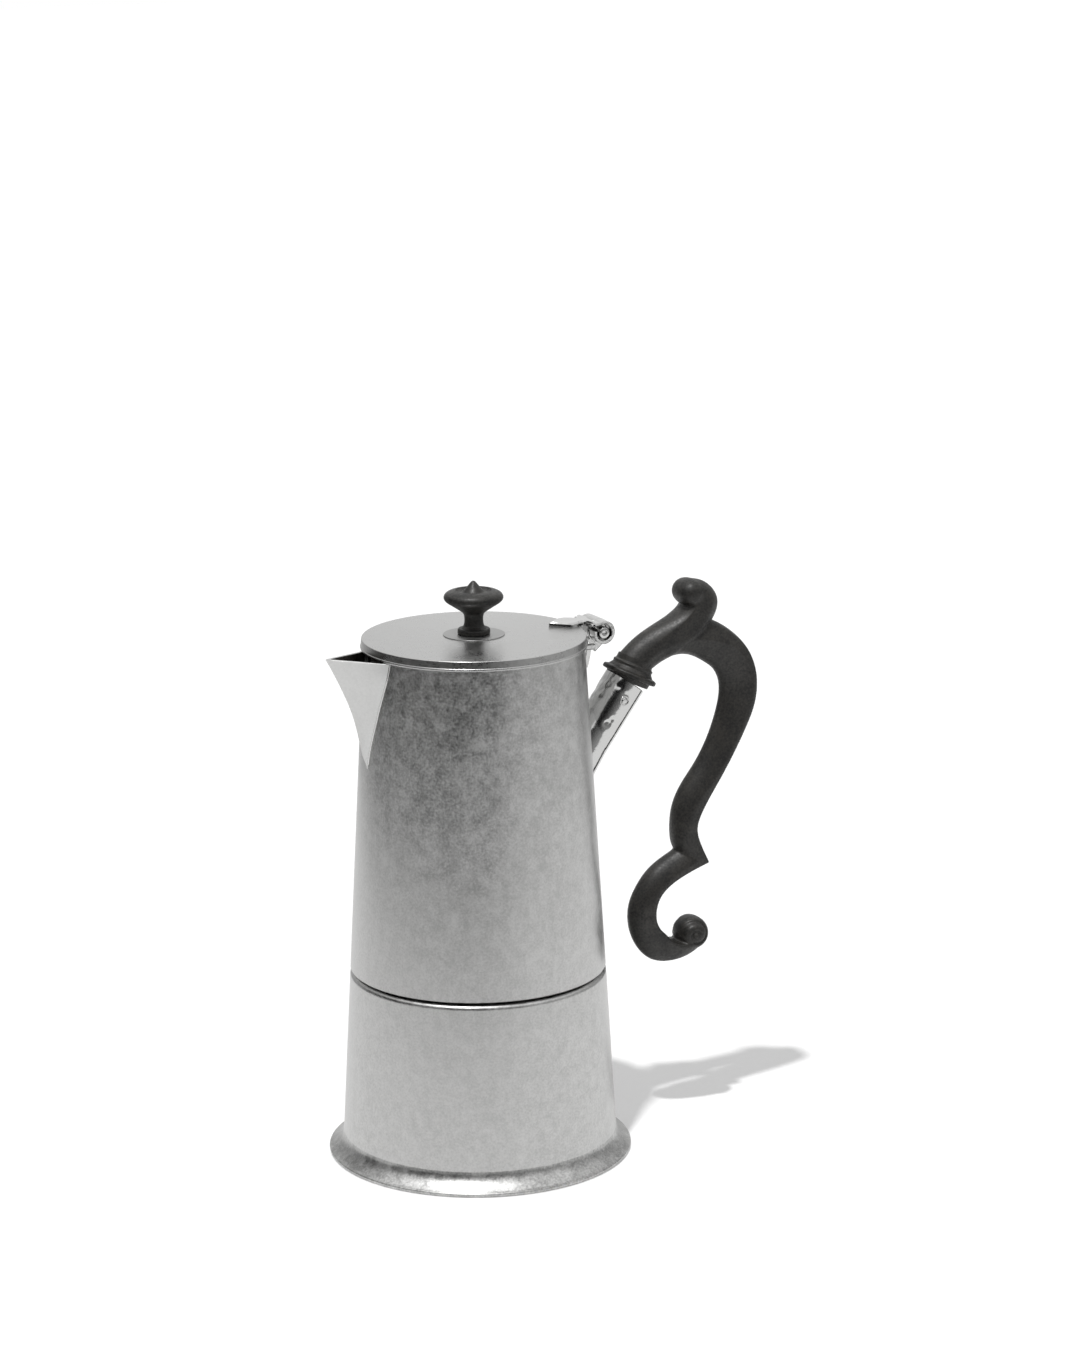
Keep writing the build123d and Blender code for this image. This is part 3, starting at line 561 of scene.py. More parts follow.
# Moulded silicone: milky and quite matt.
RUBBER = dull_solid("silicone_rubber", "#dcdad2", "#cfcdc5", 0.60, 0.6, 1.42)
# Punched from pressed paper fibre: a dry brick red.
FIBRE = dull_solid("red_fibre", "#7a3626", "#652a1e", 0.70, 0.5, 1.5)
print("dull solids done")

# %% [markdown]
# ## Pieces inside the pot
# Pieces inside the pot keep their exact CAD shape: nobody sees them until the pot is opened, and they have to
# fit. Each is shown as a merged copy, so that round faces shade smoothly, and the valve's sharp edges get a
# narrow bevel that catches the light.

# %% Merged copies
CAD_MERGE = 1e-6  # metres
FLAT_ANGLE = 0.5  # degrees: faces that meet flatter than this become one before a bevel
VALVE_BEVEL = 0.15


def dressed(node, material, bevel_width=0.0, sharp=30.0):
    """A merged copy of a CAD node's own mesh stands for that node on the same body."""
    source = frame["nodes"][node]
    mesh = source.data.copy()
    if "custom_normal" in mesh.attributes:
        mesh.attributes.remove(mesh.attributes["custom_normal"])
    work = bmesh.new()
    work.from_mesh(mesh)
    bmesh.ops.remove_doubles(work, verts=work.verts, dist=CAD_MERGE)
    if bevel_width:
        flat_angle = math.radians(FLAT_ANGLE)
        bmesh.ops.dissolve_limit(work, angle_limit=flat_angle, verts=work.verts, edges=work.edges)
    work.to_mesh(mesh)
    work.free()
    mesh.polygons.foreach_set("use_smooth", np.ones(len(mesh.polygons), bool))
    mesh.set_sharp_from_angle(angle=math.radians(sharp))
    made = place_mesh(node + "_piece", mesh, material)
    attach(made, source["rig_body"])
    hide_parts(node)
    if bevel_width:
        bevel = made.modifiers.new("bevel", "BEVEL")
        bevel.width = bevel_width * MM
        bevel.segments = 2
        bevel.limit_method = "ANGLE"
        bevel.angle_limit = math.radians(sharp)
        bevel.harden_normals = True
    return made


TURNED_INSIDE = ["boiler_neck", "chamber_floor", "threaded_skirt", "coffee_column", "column_cap"]
TURNED_INSIDE += ["boiler_floor", "lid_locating_ring", "basket_cup", "basket_funnel", "basket_sieve"]
for node in [*TURNED_INSIDE, "funnel_tube", "filter_plate"]:
    dressed(node, INNER)
# The shoulder shows only in the seam between the vessels, so it gets painted shade: near black.
dressed("boiler_shoulder", SHADE_PAINTED_METAL)
for node in ("knob_screw", "knob_washer", "valve_spring"):
    dressed(node, STEEL)
for node in ("valve_body", "valve_nut", "valve_cap", "valve_plunger"):
    dressed(node, BRASS, VALVE_BEVEL)
dressed("valve_washer", FIBRE)
dressed("gasket", RUBBER)

# %% [markdown]
# ## Lower vessel and foot
# The shell is one turned outline with a rounded top edge: that edge is the bright line under the dark seam.
# The foot is a ring that hugs the shell, breaks outwards at a crisp line, flares in a hollow curve and ends
# in a rounded lip. The curve could be drawn through points, but two end directions are enough for it.

# %% Boiler shell
WALL = 2.5
EDGE = 1.7
SMALL_ROUND = 0.2
boiler_corners = [
    (cone(0) - WALL, 0, 0),
    (cone(0), 0, SMALL_ROUND),
    (cone(SEAM), SEAM, EDGE),
    (cone(SEAM) - WALL, SEAM, SMALL_ROUND),
]
boiler_grid = (turn(rounded(boiler_corners, steps=9), 320), True, True)
made = piece("boiler_wall", [boiler_grid], "boiler", WALL_METAL, ["boiler_shell"])
line_inside(made, INNER)

PAD_RADIUS = 8.5
PAD_DEPTH = 4.2
VALVE_HEIGHT = 42.0
pad_face = node_box("valve_washer")[0][1]
pad_back = pad_face - PAD_DEPTH
pad_side = [(PAD_RADIUS, pad_back, 0.3), (PAD_RADIUS, pad_face, 0.4)]
pad = rounded([(0, pad_back, 0), *pad_side, (0, pad_face, 0)], closed=False)
pad_grid = frame_grid(turn(pad, 96), np.array((0, 0, VALVE_HEIGHT)), (1, 0, 0), (0, 1, 0))
piece("valve_pad", [(pad_grid, False, True)], "boiler", WALL_METAL, ["boiler_shell"])

# %% Foot ring
foot_high = node_box("foot_ring")[1]
FOOT_RADIUS = foot_high[0]
FOOT_TOP = foot_high[2]
BREAK_HEIGHT = 6.7
BREAK_STEP = 0.12
FLARE_START, FLARE_END = 17.0, 56.0  # degrees from upright where the flare begins and ends
LIP_BACK = 0.85
LIP_TOP = 1.75
LIP_DROP = 0.35
FOOT_LAP = 0.3  # how far the ring reaches into the shell, so that no gap shows


def flare(steps=16):
    """Quadratic curve whose middle point is where the lines of its two end directions cross."""
    start = np.array((cone(BREAK_HEIGHT) + BREAK_STEP, BREAK_HEIGHT))
    end = np.array((FOOT_RADIUS - LIP_BACK, LIP_TOP))
    ways = np.radians((FLARE_START, FLARE_END))
    lines = np.stack([np.sin(ways), -np.cos(ways)])
    run = np.linalg.solve(lines, end - start)[0]
    middle = start + run * lines[:, 0]
    t = np.linspace(0, 1, steps)[:, None]
    return (1 - t) ** 2 * start + 2 * t * (1 - t) * middle + t**2 * end


hollow = flare()
lip_corners = [
    (*hollow[-1], 0),
    (FOOT_RADIUS, LIP_TOP - LIP_DROP, 0.5),
    (FOOT_RADIUS, 0, 0.8),
    (cone(0) - 0.2, 0, 0),
]
lip = rounded(lip_corners, closed=False)
top, top_inside = [(cone(FOOT_TOP), FOOT_TOP)], [(cone(FOOT_TOP) - FOOT_LAP, FOOT_TOP)]
foot_grid = (turn(np.concatenate([top, hollow, lip[1:], top_inside]), 320), True, True)
piece("foot_moulding", [foot_grid], "boiler", FOOT_METAL, ["foot_ring"], 20)

# %% [markdown]
# ## Spout
# The spout is one sheet folded along its keel and brazed over a notch in the wall. Two lines shape it, both
# given against the depth below its tip: how far the keel stands out, and how wide the sheet is where it
# meets the wall. Both fall away in a hollow curve. A flat sheet could be bent by modifiers, but then it would
# hardly meet the cone along its whole edge; here each edge point is worked out on the cone.

# %% Spout lines
SPOUT_RISE = 1.3  # how far the tip stands above the rim
SPOUT_WALL = 1.3
SPOUT_REACH = 17.46
SPOUT_STATIONS = [  # depth below the tip, reach of the keel from the wall, half width
    (0.0, SPOUT_REACH, 12.0),
    (5.6, 14.1, 11.0),
    (10.9, 11.2, 9.4),
    (17.8, 7.8, 7.1),
    (24.6, 5.3, 4.9),
    (29.6, 3.9, 3.1),
    (33.5, 2.9, 1.8),
    (37.4, 1.6, 0.8),
    (40.2, 0.5, 0.3),
    (41.5, 0.1, 0.12),
]
SPOUT_DEPTH = 41.4
NOTCH_DEPTH = 24.0
LEAST_DEPTH = 0.02  # keeps a sheet point in front of the wall where the spout runs out
KEEL_ROUND = 0.05  # how soft the fold is, as a share of the half width
KEEL_CROWD = 1.5  # power that crowds the columns towards the keel
spout_curve = spline(SPOUT_STATIONS, 200)


def spout_lines(height, inset=0.0):
    """Place of the keel, half width and root line at each height, the sheet moved in by inset."""
    depth = RIM + SPOUT_RISE - height
    reach, half = (np.interp(depth, spout_curve[:, 0], spout_curve[:, i]) for i in (1, 2))
    radius = cone(height)
    root = np.sqrt(radius**2 - half**2)
    slope = (radius + reach - root) / half
    tip = radius + reach - inset * np.hypot(1, slope)
    return tip, np.maximum(tip - root, LEAST_DEPTH) / slope, root


def spout_face(height, inset, sides=41):
    """Points of one face: across runs from -1 to 1, and the keel is rounded by sqrt(across^2 + soft^2).
    Heights are scaled so that the rim falls from the tip to the wall."""
    tip, half, root = (a[:, None] for a in spout_lines(height, inset))
    across = np.linspace(-1, 1, sides)[None, :]
    across = np.sign(across) * np.abs(across) ** KEEL_CROWD
    soft = KEEL_ROUND
    bend = (np.sqrt(across**2 + soft**2) - soft) / (math.sqrt(1 + soft**2) - soft)
    out = tip - (tip - root) * bend
    low = RIM + SPOUT_RISE - SPOUT_DEPTH
    rim = RIM + SPOUT_RISE * np.clip((out - cone(RIM)) / SPOUT_REACH, 0, 1)
    z = low + (height[:, None] - low) * (rim - low) / (RIM + SPOUT_RISE - low)
    return np.stack([-out, half * across, z], -1)


# %% Spout sheet and brazed seam
ROWS = 48
RIM_SINK = 0.15  # the last full row drops by this, and two rows further in round the rim off
RIM_STEPS = (0.2, 0.65)
SEAM_BEAD = 0.32
outer_rows = np.linspace(RIM + SPOUT_RISE - SPOUT_DEPTH, RIM + SPOUT_RISE, ROWS)
inner_rows = np.linspace(RIM + SPOUT_RISE - NOTCH_DEPTH, RIM + SPOUT_RISE, ROWS)


def sheet_rings(outer, inner, inset):
    """Each row is a closed ring: out along the outer face, and back along the inner one."""
    back = spout_face(inner, SPOUT_WALL - inset)[:, ::-1]
    return np.concatenate([spout_face(outer, inset), back], 1)


def spout_sheet():
    """The sheet's rows, two more that round the rim off, and a point that closes the lower end."""
    body = sheet_rings(outer_rows, inner_rows, 0.0)
    body[-1, :, 2] -= RIM_SINK
    top = outer_rows[-1:]
    grid = np.concatenate([body, *[sheet_rings(top, top, inset) for inset in RIM_STEPS]])
    first = grid[0].mean(0, keepdims=True).repeat(grid.shape[1], 0)[None]
    return np.concatenate([first, grid])


sheet = [(spout_sheet(), False, True)]
made = piece("spout_sheet", sheet, "upper_vessel", SPOUT_METAL, ["spout"])
# The spout's inner faces, which look into the pot, get painted shade: near black.
line_inside(made, SHADE_PAINTED_METAL)


def bead(line, radius, ring=10):
    """A round bead along a line: at each point a circle in the plane across the line."""
    ahead = np.gradient(line, axis=0)
    ahead /= np.linalg.norm(ahead, axis=1, keepdims=True)
    side = np.cross(ahead, (1.0, 0.0, 0.0))
    side /= np.linalg.norm(side, axis=1, keepdims=True)
    up = np.cross(side, ahead)
    angle = np.linspace(0, 2 * np.pi, ring, endpoint=False)[None, :, None]
    return line[:, None] + radius * (np.cos(angle) * side[:, None] + np.sin(angle) * up[:, None])


edge_lines = spout_face(outer_rows[2:], 0.0)
seams = [(closed_ends(bead(edge_lines[:, i], SEAM_BEAD)), False, True) for i in (0, -1)]
piece("spout_seams", seams, "upper_vessel", POLISHED, ["spout"])

# %% [markdown]
# ## Upper vessel with its notch
# The wall is a band that runs round the pot from one edge of the notch to the other. At each height the two
# edges stand apart by a little less than the spout's width there, and below the notch they meet. Cutting the
# notch out of a whole cone with a boolean would give the same hole, but ragged shading round it.

# %% Upper wall
CHAMBER_WALL = 1.6
NOTCH_LAP = 1.3
SEAM_ROUND = 0.45
SEAM_SHADOW = 0.35  # the wall's lower edge is worn back a little, so the seam shows as a dark line
BELOW_ROWS, NOTCH_ROWS = 24, 28


def upper_wall(columns=360):
    """Band between the notch's edges: angle runs evenly from one edge round the back to the other."""
    low = upper_low[2] + SEAM_SHADOW
    notch_low = RIM + SPOUT_RISE - NOTCH_DEPTH
    rounds = low + SEAM_ROUND * np.array((0.0, 0.3, 1.0, 1.3))
    below = np.linspace(low + 1, notch_low, BELOW_ROWS)
    beside = np.linspace(notch_low + 0.1, RIM, NOTCH_ROWS)
    heights = np.concatenate([rounds, below, beside])
    half = np.where(heights > notch_low, spout_lines(heights)[1] - NOTCH_LAP, 0.0)
    edge = np.arcsin(np.clip(half, 0, None) / cone(heights))[:, None]
    angle = np.pi + edge + np.linspace(0, 1, columns)[None, :] * (2 * np.pi - 2 * edge)
    turned_in = np.clip(1 - (heights - low) / SEAM_ROUND, 0, 1)[:, None] ** 2
    outer = cone(heights)[:, None] - SEAM_ROUND * turned_in
    z = heights[:, None] + 0 * angle
    sides = [np.stack([r * np.cos(angle), r * np.sin(angle), z], -1) for r in (outer, outer - CHAMBER_WALL)]
    start = np.flatnonzero(heights > notch_low)[0] - 1
    caps = [(np.stack([side[start:, i] for side in sides]), False, False) for i in (0, -1)]
    return [(np.concatenate([sides[0], sides[1][::-1]]), True, False), *caps]


made = piece("upper_wall", upper_wall(), "upper_vessel", WALL_METAL, ["upper_chamber"])
# The wall's inner faces get painted shade: near black.
line_inside(made, SHADE_PAINTED_METAL)

# %% [markdown]
# ## Lid, disc and knob
# All three are turned. The lid is slightly crowned, and its rim turns down over the wall and ends in a small
# bead. The knob is a beaded base, a stem, a wide bulb, a sunk ring and a small point. Its base has corners
# and is drawn with rounds; its bulb has none and is drawn as a smooth curve.

# %% Lid and disc
lid_low, lid_high = node_box("lid_plate")
LID_RADIUS = lid_high[0]
LID_TOP = lid_high[2]
LID_BOTTOM = lid_low[2]
LID_PLATE = 1.4
RIM_WALL = 1.5
CROWN = 0.6
LID_BEAD = 0.9
BEAD_STEP, TOP_STEP = 0.22, 0.42  # how far the rim stands back above its bead, and at its top
ROSETTE_RADIUS = node_box("knob_rosette")[1][0]
ROSETTE_HEIGHT = 0.3
ROSETTE_SUNK = 0.4


def crown(radius):
    """Height of the lid's top at a radius: it falls from the middle with the square of the radius."""
    return LID_TOP + CROWN * (1 - (radius / LID_RADIUS) ** 2)


across = np.linspace(LID_RADIUS - 1.0, 0, 14)
lid_outline = rounded(
    [
        (0, LID_TOP - LID_PLATE, 0),
        (LID_RADIUS - RIM_WALL, LID_TOP - LID_PLATE, 0.2),
        (LID_RADIUS - RIM_WALL, LID_BOTTOM, 0.15),
        (LID_RADIUS, LID_BOTTOM, 0.42),
        (LID_RADIUS, LID_BOTTOM + LID_BEAD, 0.3),
        (LID_RADIUS - BEAD_STEP, LID_BOTTOM + LID_BEAD + 0.15, 0.1),
        (LID_RADIUS - TOP_STEP, LID_TOP, 0.32),
        (across[0], crown(across[0]), 0),
    ],
    closed=False,
)
lid_outline = np.concatenate([lid_outline, np.stack([across, crown(across)], -1)[1:]])
piece("lid_disc", [(turn(lid_outline, 320), False, True)], "lid", LID_METAL, ["lid_plate"])
disc_edge = crown(ROSETTE_RADIUS)
rosette_outline = rounded(
    [
        (0, disc_edge - ROSETTE_SUNK, 0),
        (ROSETTE_RADIUS, disc_edge - ROSETTE_SUNK, 0),
        (ROSETTE_RADIUS, disc_edge + ROSETTE_HEIGHT, 0.15),
        (0, crown(0) + ROSETTE_HEIGHT, 0),
    ],
    closed=False,
)
rosette_grid = (turn(rosette_outline, 128), False, True)
piece("rosette_disc", [rosette_grid], "lid", ROSETTE_METAL, ["knob_rosette"])

# %% Knob
knob_low, knob_high = node_box("lid_knob")
KNOB_SEAT = knob_low[2] + CROWN
KNOB_HEIGHT = knob_high[2] - KNOB_SEAT
KNOB_RADIUS = knob_high[0]
base_corners = [(0, 0, 0), (5.8, 0, 0.5), (5.8, 2.2, 0.75), (4.6, 2.0, 0.2), (3.7, 2.9, 0.5), (3.4, 4.0, 0)]
knob_base = rounded(base_corners, closed=False)
knob_bulb = spline(
    [
        (3.4, 4.0),
        (3.4, 6.3),
        (3.7, 7.3),
        (4.6, 8.2),
        (6.3, 9.35),
        (8.2, 10.6),
        (9.8, 11.7),
        (10.6, 13.0),
        (10.25, 14.2),
        (9.1, 15.1),
        (7.6, 15.6),
        (6.5, 15.75),
    ],
    48,
)
knob_dish = spline([(6.3, 15.45), (5.6, 15.05), (4.6, 15.0), (3.9, 15.2), (3.3, 15.8)], 14)
point_line = [(3.3, 15.8), (2.5, 16.7), (1.6, 17.8), (0.8, 18.75), (0.35, 19.05), (0, KNOB_HEIGHT)]
knob_point = spline(point_line, 16)
knob_outline = np.concatenate([knob_base, knob_bulb[1:], knob_dish, knob_point[1:]])
knob_outline[:, 0] *= KNOB_RADIUS / knob_outline[:, 0].max()
knob_grid = (turn(knob_outline + (0, KNOB_SEAT), 128), False, True)
piece("knob_turned", [knob_grid], "lid", BLACK, ["lid_knob"], 40)

# %% [markdown]
# ## Hinge
# A pointed strap lies on the lid, and its two ends are rolled round the pin. Between them stands the
# vessel's own knuckle, on a neck with a ledge and a small fluted drop. The rolled ends could be plain rings,
# but a real smith bends a strip, so they are a path with a thickness that closes in a little.

# %% Rolled ends
BARREL = 4.45  # outer radius of the knuckles
BARREL_HALF = 7.0
MIDDLE_HALF = 2.4
KNUCKLE_GAP = 0.3
PIN_DEPTH = 2.6  # the pin's line lies this far below the lid's top
LEAF = 1.2  # thickness of the strip
ROLL_START = 118  # degrees round the pin where the strip reaches the barrel
ROLL_CLOSES = 0.5  # the roll's radius shrinks by this on its way round
ROLL_BEVEL = 0.22
HINGE_X = node_box("hinge_leaf")[1][0] - BARREL
HINGE_Z = LID_TOP - PIN_DEPTH


def rolled(path, thickness, low, high, bevel):
    """A strap that follows a path in the XZ plane: both faces lie half a thickness off the path, the strap
    runs across Y from low to high, and its edges are bevelled."""
    ahead = np.gradient(path, axis=0)
    ahead /= np.linalg.norm(ahead, axis=1, keepdims=True)
    off = np.stack([-ahead[:, 1], ahead[:, 0]], -1)

    def faces(inset):
        """Both faces' lines, all drawn in by inset."""
        trimmed = path.copy()
        trimmed[0] += ahead[0] * inset
        trimmed[-1] -= ahead[-1] * inset
        reach = thickness / 2 - inset
        return trimmed + off * reach, trimmed - off * reach

    def at(ring, y):
        """A line of (x, z) points, stood at y."""
        return np.stack([ring[:, 0], 0 * ring[:, 0] + y, ring[:, 1]], -1)

    rings = [np.concatenate([a, b[::-1]]) for a, b in (faces(bevel), faces(0.0))]
    rows = [at(rings[0], low), at(rings[1], low + bevel), at(rings[1], high - bevel), at(rings[0], high)]
    caps = [np.stack([at(side, y) for side in faces(bevel)]) for y in (low, high)]
    return [(np.stack(rows), False, True), *[(cap, False, False) for cap in caps]]


def roll_path(turns=0.86, steps=60):
    """From the strap's level, up onto the barrel's circle and round it, closing in a little as it goes."""
    angle = np.radians(ROLL_START) - np.linspace(0, turns * 2 * np.pi, steps)
    radius = BARREL - LEAF / 2 - np.linspace(0, ROLL_CLOSES, steps)
    circle = np.stack([HINGE_X + radius * np.cos(angle), HINGE_Z + radius * np.sin(angle)], -1)
    level = LID_TOP + LEAF / 2
    lead = [(HINGE_X - 5.2, level), (HINGE_X - 4.0, level + 0.02), (HINGE_X - 2.9, level + 0.12), circle[0]]
    return np.concatenate([spline(lead, 12)[:-1], circle])


beside_knuckle = MIDDLE_HALF + KNUCKLE_GAP
rolls = []
for low, high in ((beside_knuckle, BARREL_HALF), (-BARREL_HALF, -beside_knuckle)):
    rolls += rolled(roll_path(), LEAF, low, high, ROLL_BEVEL)
piece("hinge_rolls", rolls, "lid", POLISHED, ["hinge_leaf"])

# %% Pointed strap
LEAF_LENGTH = 18.6
LEAF_HALF = 5.4
LEAF_WAIST = 3.4
LEAF_LEAST = 0.01  # half width kept near the tip, where the sides would cross
LEAF_SIDE = [(0.0, 0.0), (0.0, 0.8), (0.25, 1.4), (0.95, 1.9)]  # how far in from the edge, and how high


def leaf_plate():
    """Spade outline: half width against length, with a flat top and sides that stand upright, then slope
    inwards, then more so."""
    outline = [(0.0, 0.05), (0.9, 1.0), (3.6, 3.6), (6.4, LEAF_HALF), (7.6, LEAF_HALF + 0.1), (9.6, 4.6)]
    outline += [(11.3, LEAF_WAIST + 0.1), (12.2, LEAF_WAIST), (13.0, 4.4), (13.8, 6.2), (14.2, BARREL_HALF)]
    shape = np.array([*outline, (15.0, BARREL_HALF)])
    fine = np.concatenate([shape[:3], spline(shape[2:6], 14)[1:], spline(shape[5:11], 20)[1:], shape[11:]])
    x, half = HINGE_X - LEAF_LENGTH + fine[:, 0], fine[:, 1]
    ring = [(np.minimum(inset - half, -LEAF_LEAST), LID_TOP + up) for inset, up in LEAF_SIDE]
    ring += [(-y, z) for y, z in ring[::-1]]
    return closed_ends(np.stack([np.stack([x, y, 0 * x + z], -1) for y, z in ring], 1))


piece("hinge_strap", [(leaf_plate(), False, True)], "lid", POLISHED, ["hinge_leaf"], 25)

# %% Pin, knuckle, neck, ledge and drop
PENDANT_LENGTH = 8.5
PENDANT_HALF = 2.5
LEDGE_HALF = 3.3
LEDGE_DEPTH = 7.6
LEDGE_EDGE = 0.35
NECK_DEPTH = 5.0
NECK_EDGE = 0.35
BLOCK_CORNER = 0.4
FLUTES = 12
FLUTE_DEPTH = 0.085  # half the depth of a flute, as a share of the drop's radius
SQUARISH = 0.55  # power of the cosine: 1 gives a round ring, 0 a square one
NECK_LOW = node_box("hinge_bracket")[0][2] + PENDANT_LENGTH
LEDGE_END = cone(RIM) + 7.0


def along_y(outline, columns=64):
    """An outline turned about the hinge's own axis."""
    return frame_grid(turn(outline, columns), np.array((HINGE_X, 0, HINGE_Z)), (1, 0, 0), (0, 1, 0))


pin_end = node_box("hinge_pin")[1][1]
pin_corners = [
    (0.0, pin_end - 0.7, 0),
    (0.75, pin_end - 0.6, 0.2),
    (1.0, pin_end, 0.2),
    (2.0, pin_end - 0.1, 0.4),
    (2.15, pin_end - 1.5, 0.2),
    (2.15, 0, 0),
]
pin_outline = rounded(pin_corners, closed=False)
pin_outline = np.concatenate([pin_outline, (pin_outline * (1, -1))[::-1]])
pin_grid = (along_y(pin_outline), False, True)
piece("hinge_pin_turned", [pin_grid], "upper_vessel", POLISHED, ["hinge_pin"])

knuckle_side = [(2.2, -MIDDLE_HALF, 0.1), (BARREL, -MIDDLE_HALF, 0.35)]
knuckle = rounded([*knuckle_side, (BARREL, MIDDLE_HALF, 0.35), (2.2, MIDDLE_HALF, 0.1)])
neck_line = [(-0.3, HINGE_Z - 3.4), (-1.6, HINGE_Z - 4.6), (-3.0, NECK_LOW - 0.8)]
neck_line = [(HINGE_X + x, z) for x, z in neck_line]
neck = rolled(spline(neck_line, 12), NECK_DEPTH, -MIDDLE_HALF, MIDDLE_HALF, NECK_EDGE)


def rounded_block(low, high, radius):
    """A block as rings of a rounded rectangle, drawn in at the bottom and the top."""
    rows = []
    for z, inset in ((low[2], radius), (low[2] + radius, 0.0), (high[2] - radius, 0.0), (high[2], radius)):
        a, b, c, d = low[0] + inset, low[1] + inset, high[0] - inset, high[1] - inset
        ring = rounded([(x, y, BLOCK_CORNER) for x, y in ((a, b), (c, b), (c, d), (a, d))])
        rows.append(np.concatenate([ring, np.full((len(ring), 1), z)], 1))
    return closed_ends(np.stack(rows))


def fluted_drop(rows=14, columns=96):
    """Tapering drop: each level is a squarish ring whose radius is drawn in by shallow flutes."""
    t = np.linspace(0, 1, rows)[:, None]
    angle = np.linspace(0, 2 * np.pi, columns, endpoint=False)[None, :]
    flute = 1 - FLUTE_DEPTH * (1 - np.cos(FLUTES * angle)) * (1 - 0.3 * t)
    c, s = np.cos(angle), np.sin(angle)
    x = LEDGE_END - 4.0 - 0.85 * t + (3.6 - 0.75 * t) * flute * np.sign(c) * np.abs(c) ** SQUARISH
    y = PENDANT_HALF * (1 - 0.36 * t) * flute * np.sign(s) * np.abs(s) ** SQUARISH
    z = NECK_LOW - 0.4 - (PENDANT_LENGTH - 0.4) * t + 0 * angle
    return closed_ends(np.stack([x, y, z], -1))


ledge_low = (LEDGE_END - LEDGE_DEPTH, -LEDGE_HALF, NECK_LOW - 1.6)
ledge_high = (LEDGE_END, LEDGE_HALF, NECK_LOW + 0.4)
ledge = (rounded_block(ledge_low, ledge_high, LEDGE_EDGE), False, True)
stand = [(along_y(knuckle), True, True), *neck, ledge, (fluted_drop(), False, True)]
piece("hinge_stand", stand, "upper_vessel", POLISHED, ["hinge_bracket"])

# %% [markdown]
# ## Socket and rivet
# The socket is a tube that leans out of the wall. Each line of the tube is followed down to where it meets
# the cone, found by halving, and swells there into a brazed fillet. A boolean could join the two, but it
# gives no fillet. The tube's pot side carries the dents of hammering, which are deep enough to be modelled.

# %% Socket
SOCKET_LEAN = 36.0  # degrees from upright
SOCKET_LENGTH = 30.1
SOCKET_DROP = 43.5  # how far below the rim its axis meets the wall
SOCKET_RADIUS = 7.85
SOCKET_BORE = 6.6
SOCKET_BEVEL = 0.25  # at the tube's open end
SOCKET_LAP = 0.8  # the tube runs on inside the wall by this and the bevel
FILLET_RUN, FILLET_RISE = 2.2, 0.9
DENT_COUNT = 46
DENT_DEPTH = 0.2
DENT_MOST = 1.2  # overlapping dents go no deeper than this many times one
lean = math.radians(SOCKET_LEAN)
AXIS = np.array((math.sin(lean), 0, math.cos(lean)))
SIDE = np.array((0, 1.0, 0))
TOP = np.array((cone(RIM - SOCKET_DROP), 0.0, RIM - SOCKET_DROP)) + SOCKET_LENGTH * AXIS
print("socket top:", TOP.round(2))


def tube_point(angle, radius, down):
    """Point of the tube at an angle about its axis, a radius from it, and so far down from its top."""
    across = np.cos(angle)[..., None] * SIDE + np.sin(angle)[..., None] * np.cross(AXIS, SIDE)
    return TOP + radius[..., None] * across - down[..., None] * AXIS


def reach_of_cone(angle, radius, rounds=40):
    """How far down the tube's line at this angle meets the cone, by halving the span that holds it."""
    low, high = np.zeros_like(angle), np.full_like(angle, SOCKET_LENGTH + 25)
    for _ in range(rounds):
        middle = (low + high) / 2
        p = tube_point(angle, radius + 0 * angle, middle)
        outside = np.hypot(p[..., 0], p[..., 1]) > cone(p[..., 2])
        low, high = np.where(outside, middle, low), np.where(outside, high, middle)
    return low


def socket_grid(rows=110, columns=160):
    """Outer face with its fillet and dents, then the rim and the bore. Each dent is a bell curve."""
    angle = np.linspace(0, 2 * np.pi, columns, endpoint=False)[None, :]
    share = np.linspace(0, 1, rows)[:, None]
    end = reach_of_cone(angle, SOCKET_RADIUS)
    down = SOCKET_BEVEL + share * (end + SOCKET_LAP)
    near = np.clip(1 - (end - down) / FILLET_RUN, 0, 1)
    rng = np.random.default_rng(7)
    least, most = (0.15, 1.0, 0.7), (1.05, 26.0, 1.5)  # half turns round, depth and size of a dent
    place, depth, size = rng.uniform(least, most, (DENT_COUNT, 3)).T
    away = (angle[..., None] - place * np.pi) * SOCKET_RADIUS
    dents = np.exp(-(away**2 + (down[..., None] - depth) ** 2) / size**2).sum(-1)
    radius = SOCKET_RADIUS - DENT_DEPTH * np.clip(dents, 0, DENT_MOST) + FILLET_RISE * near**2
    outer = tube_point(angle + 0 * down, radius, down)
    line = angle[0]
    rim = [(SOCKET_BORE, 8.0), (SOCKET_BORE, 0.2), (SOCKET_BORE + 0.2, 0.0)]
    rim.append((SOCKET_RADIUS - SOCKET_BEVEL, 0.0))
    return np.concatenate([np.stack([tube_point(line, 0 * line + r, 0 * line + d) for r, d in rim]), outer])


socket = [(socket_grid(), True, True)]
piece("socket_tube", socket, "upper_vessel", POLISHED, ["handle_socket"])

# %% Rivet
RIVET_DEPTH = 6.8  # down the tube from its top
RIVET_RADIUS = 1.2
RING_INNER, RING_OUTER = 1.4, 1.85  # the raised edge that hammering leaves round the head
rivet_place = TOP - RIVET_DEPTH * AXIS
head = SOCKET_RADIUS + 0.28
dome = [(0, head, 0), (0.8, head - 0.02, 0.3), (RIVET_RADIUS, head - 0.35, 0.15), (RIVET_RADIUS, 0, 0)]
dome = rounded(dome, closed=False)
pin = np.concatenate([dome, (dome * (1, -1))[::-1]])
ring_low, ring_high = SOCKET_RADIUS - 0.6, SOCKET_RADIUS + 0.13
ring_corners = [
    (RING_INNER, ring_low, 0.05),
    (RING_OUTER, ring_low, 0.05),
    (RING_OUTER, ring_high, 0.15),
    (RING_INNER, ring_high, 0.15),
]
ring = rounded(ring_corners)
outlines = [pin, ring, ring * (1, -1)]
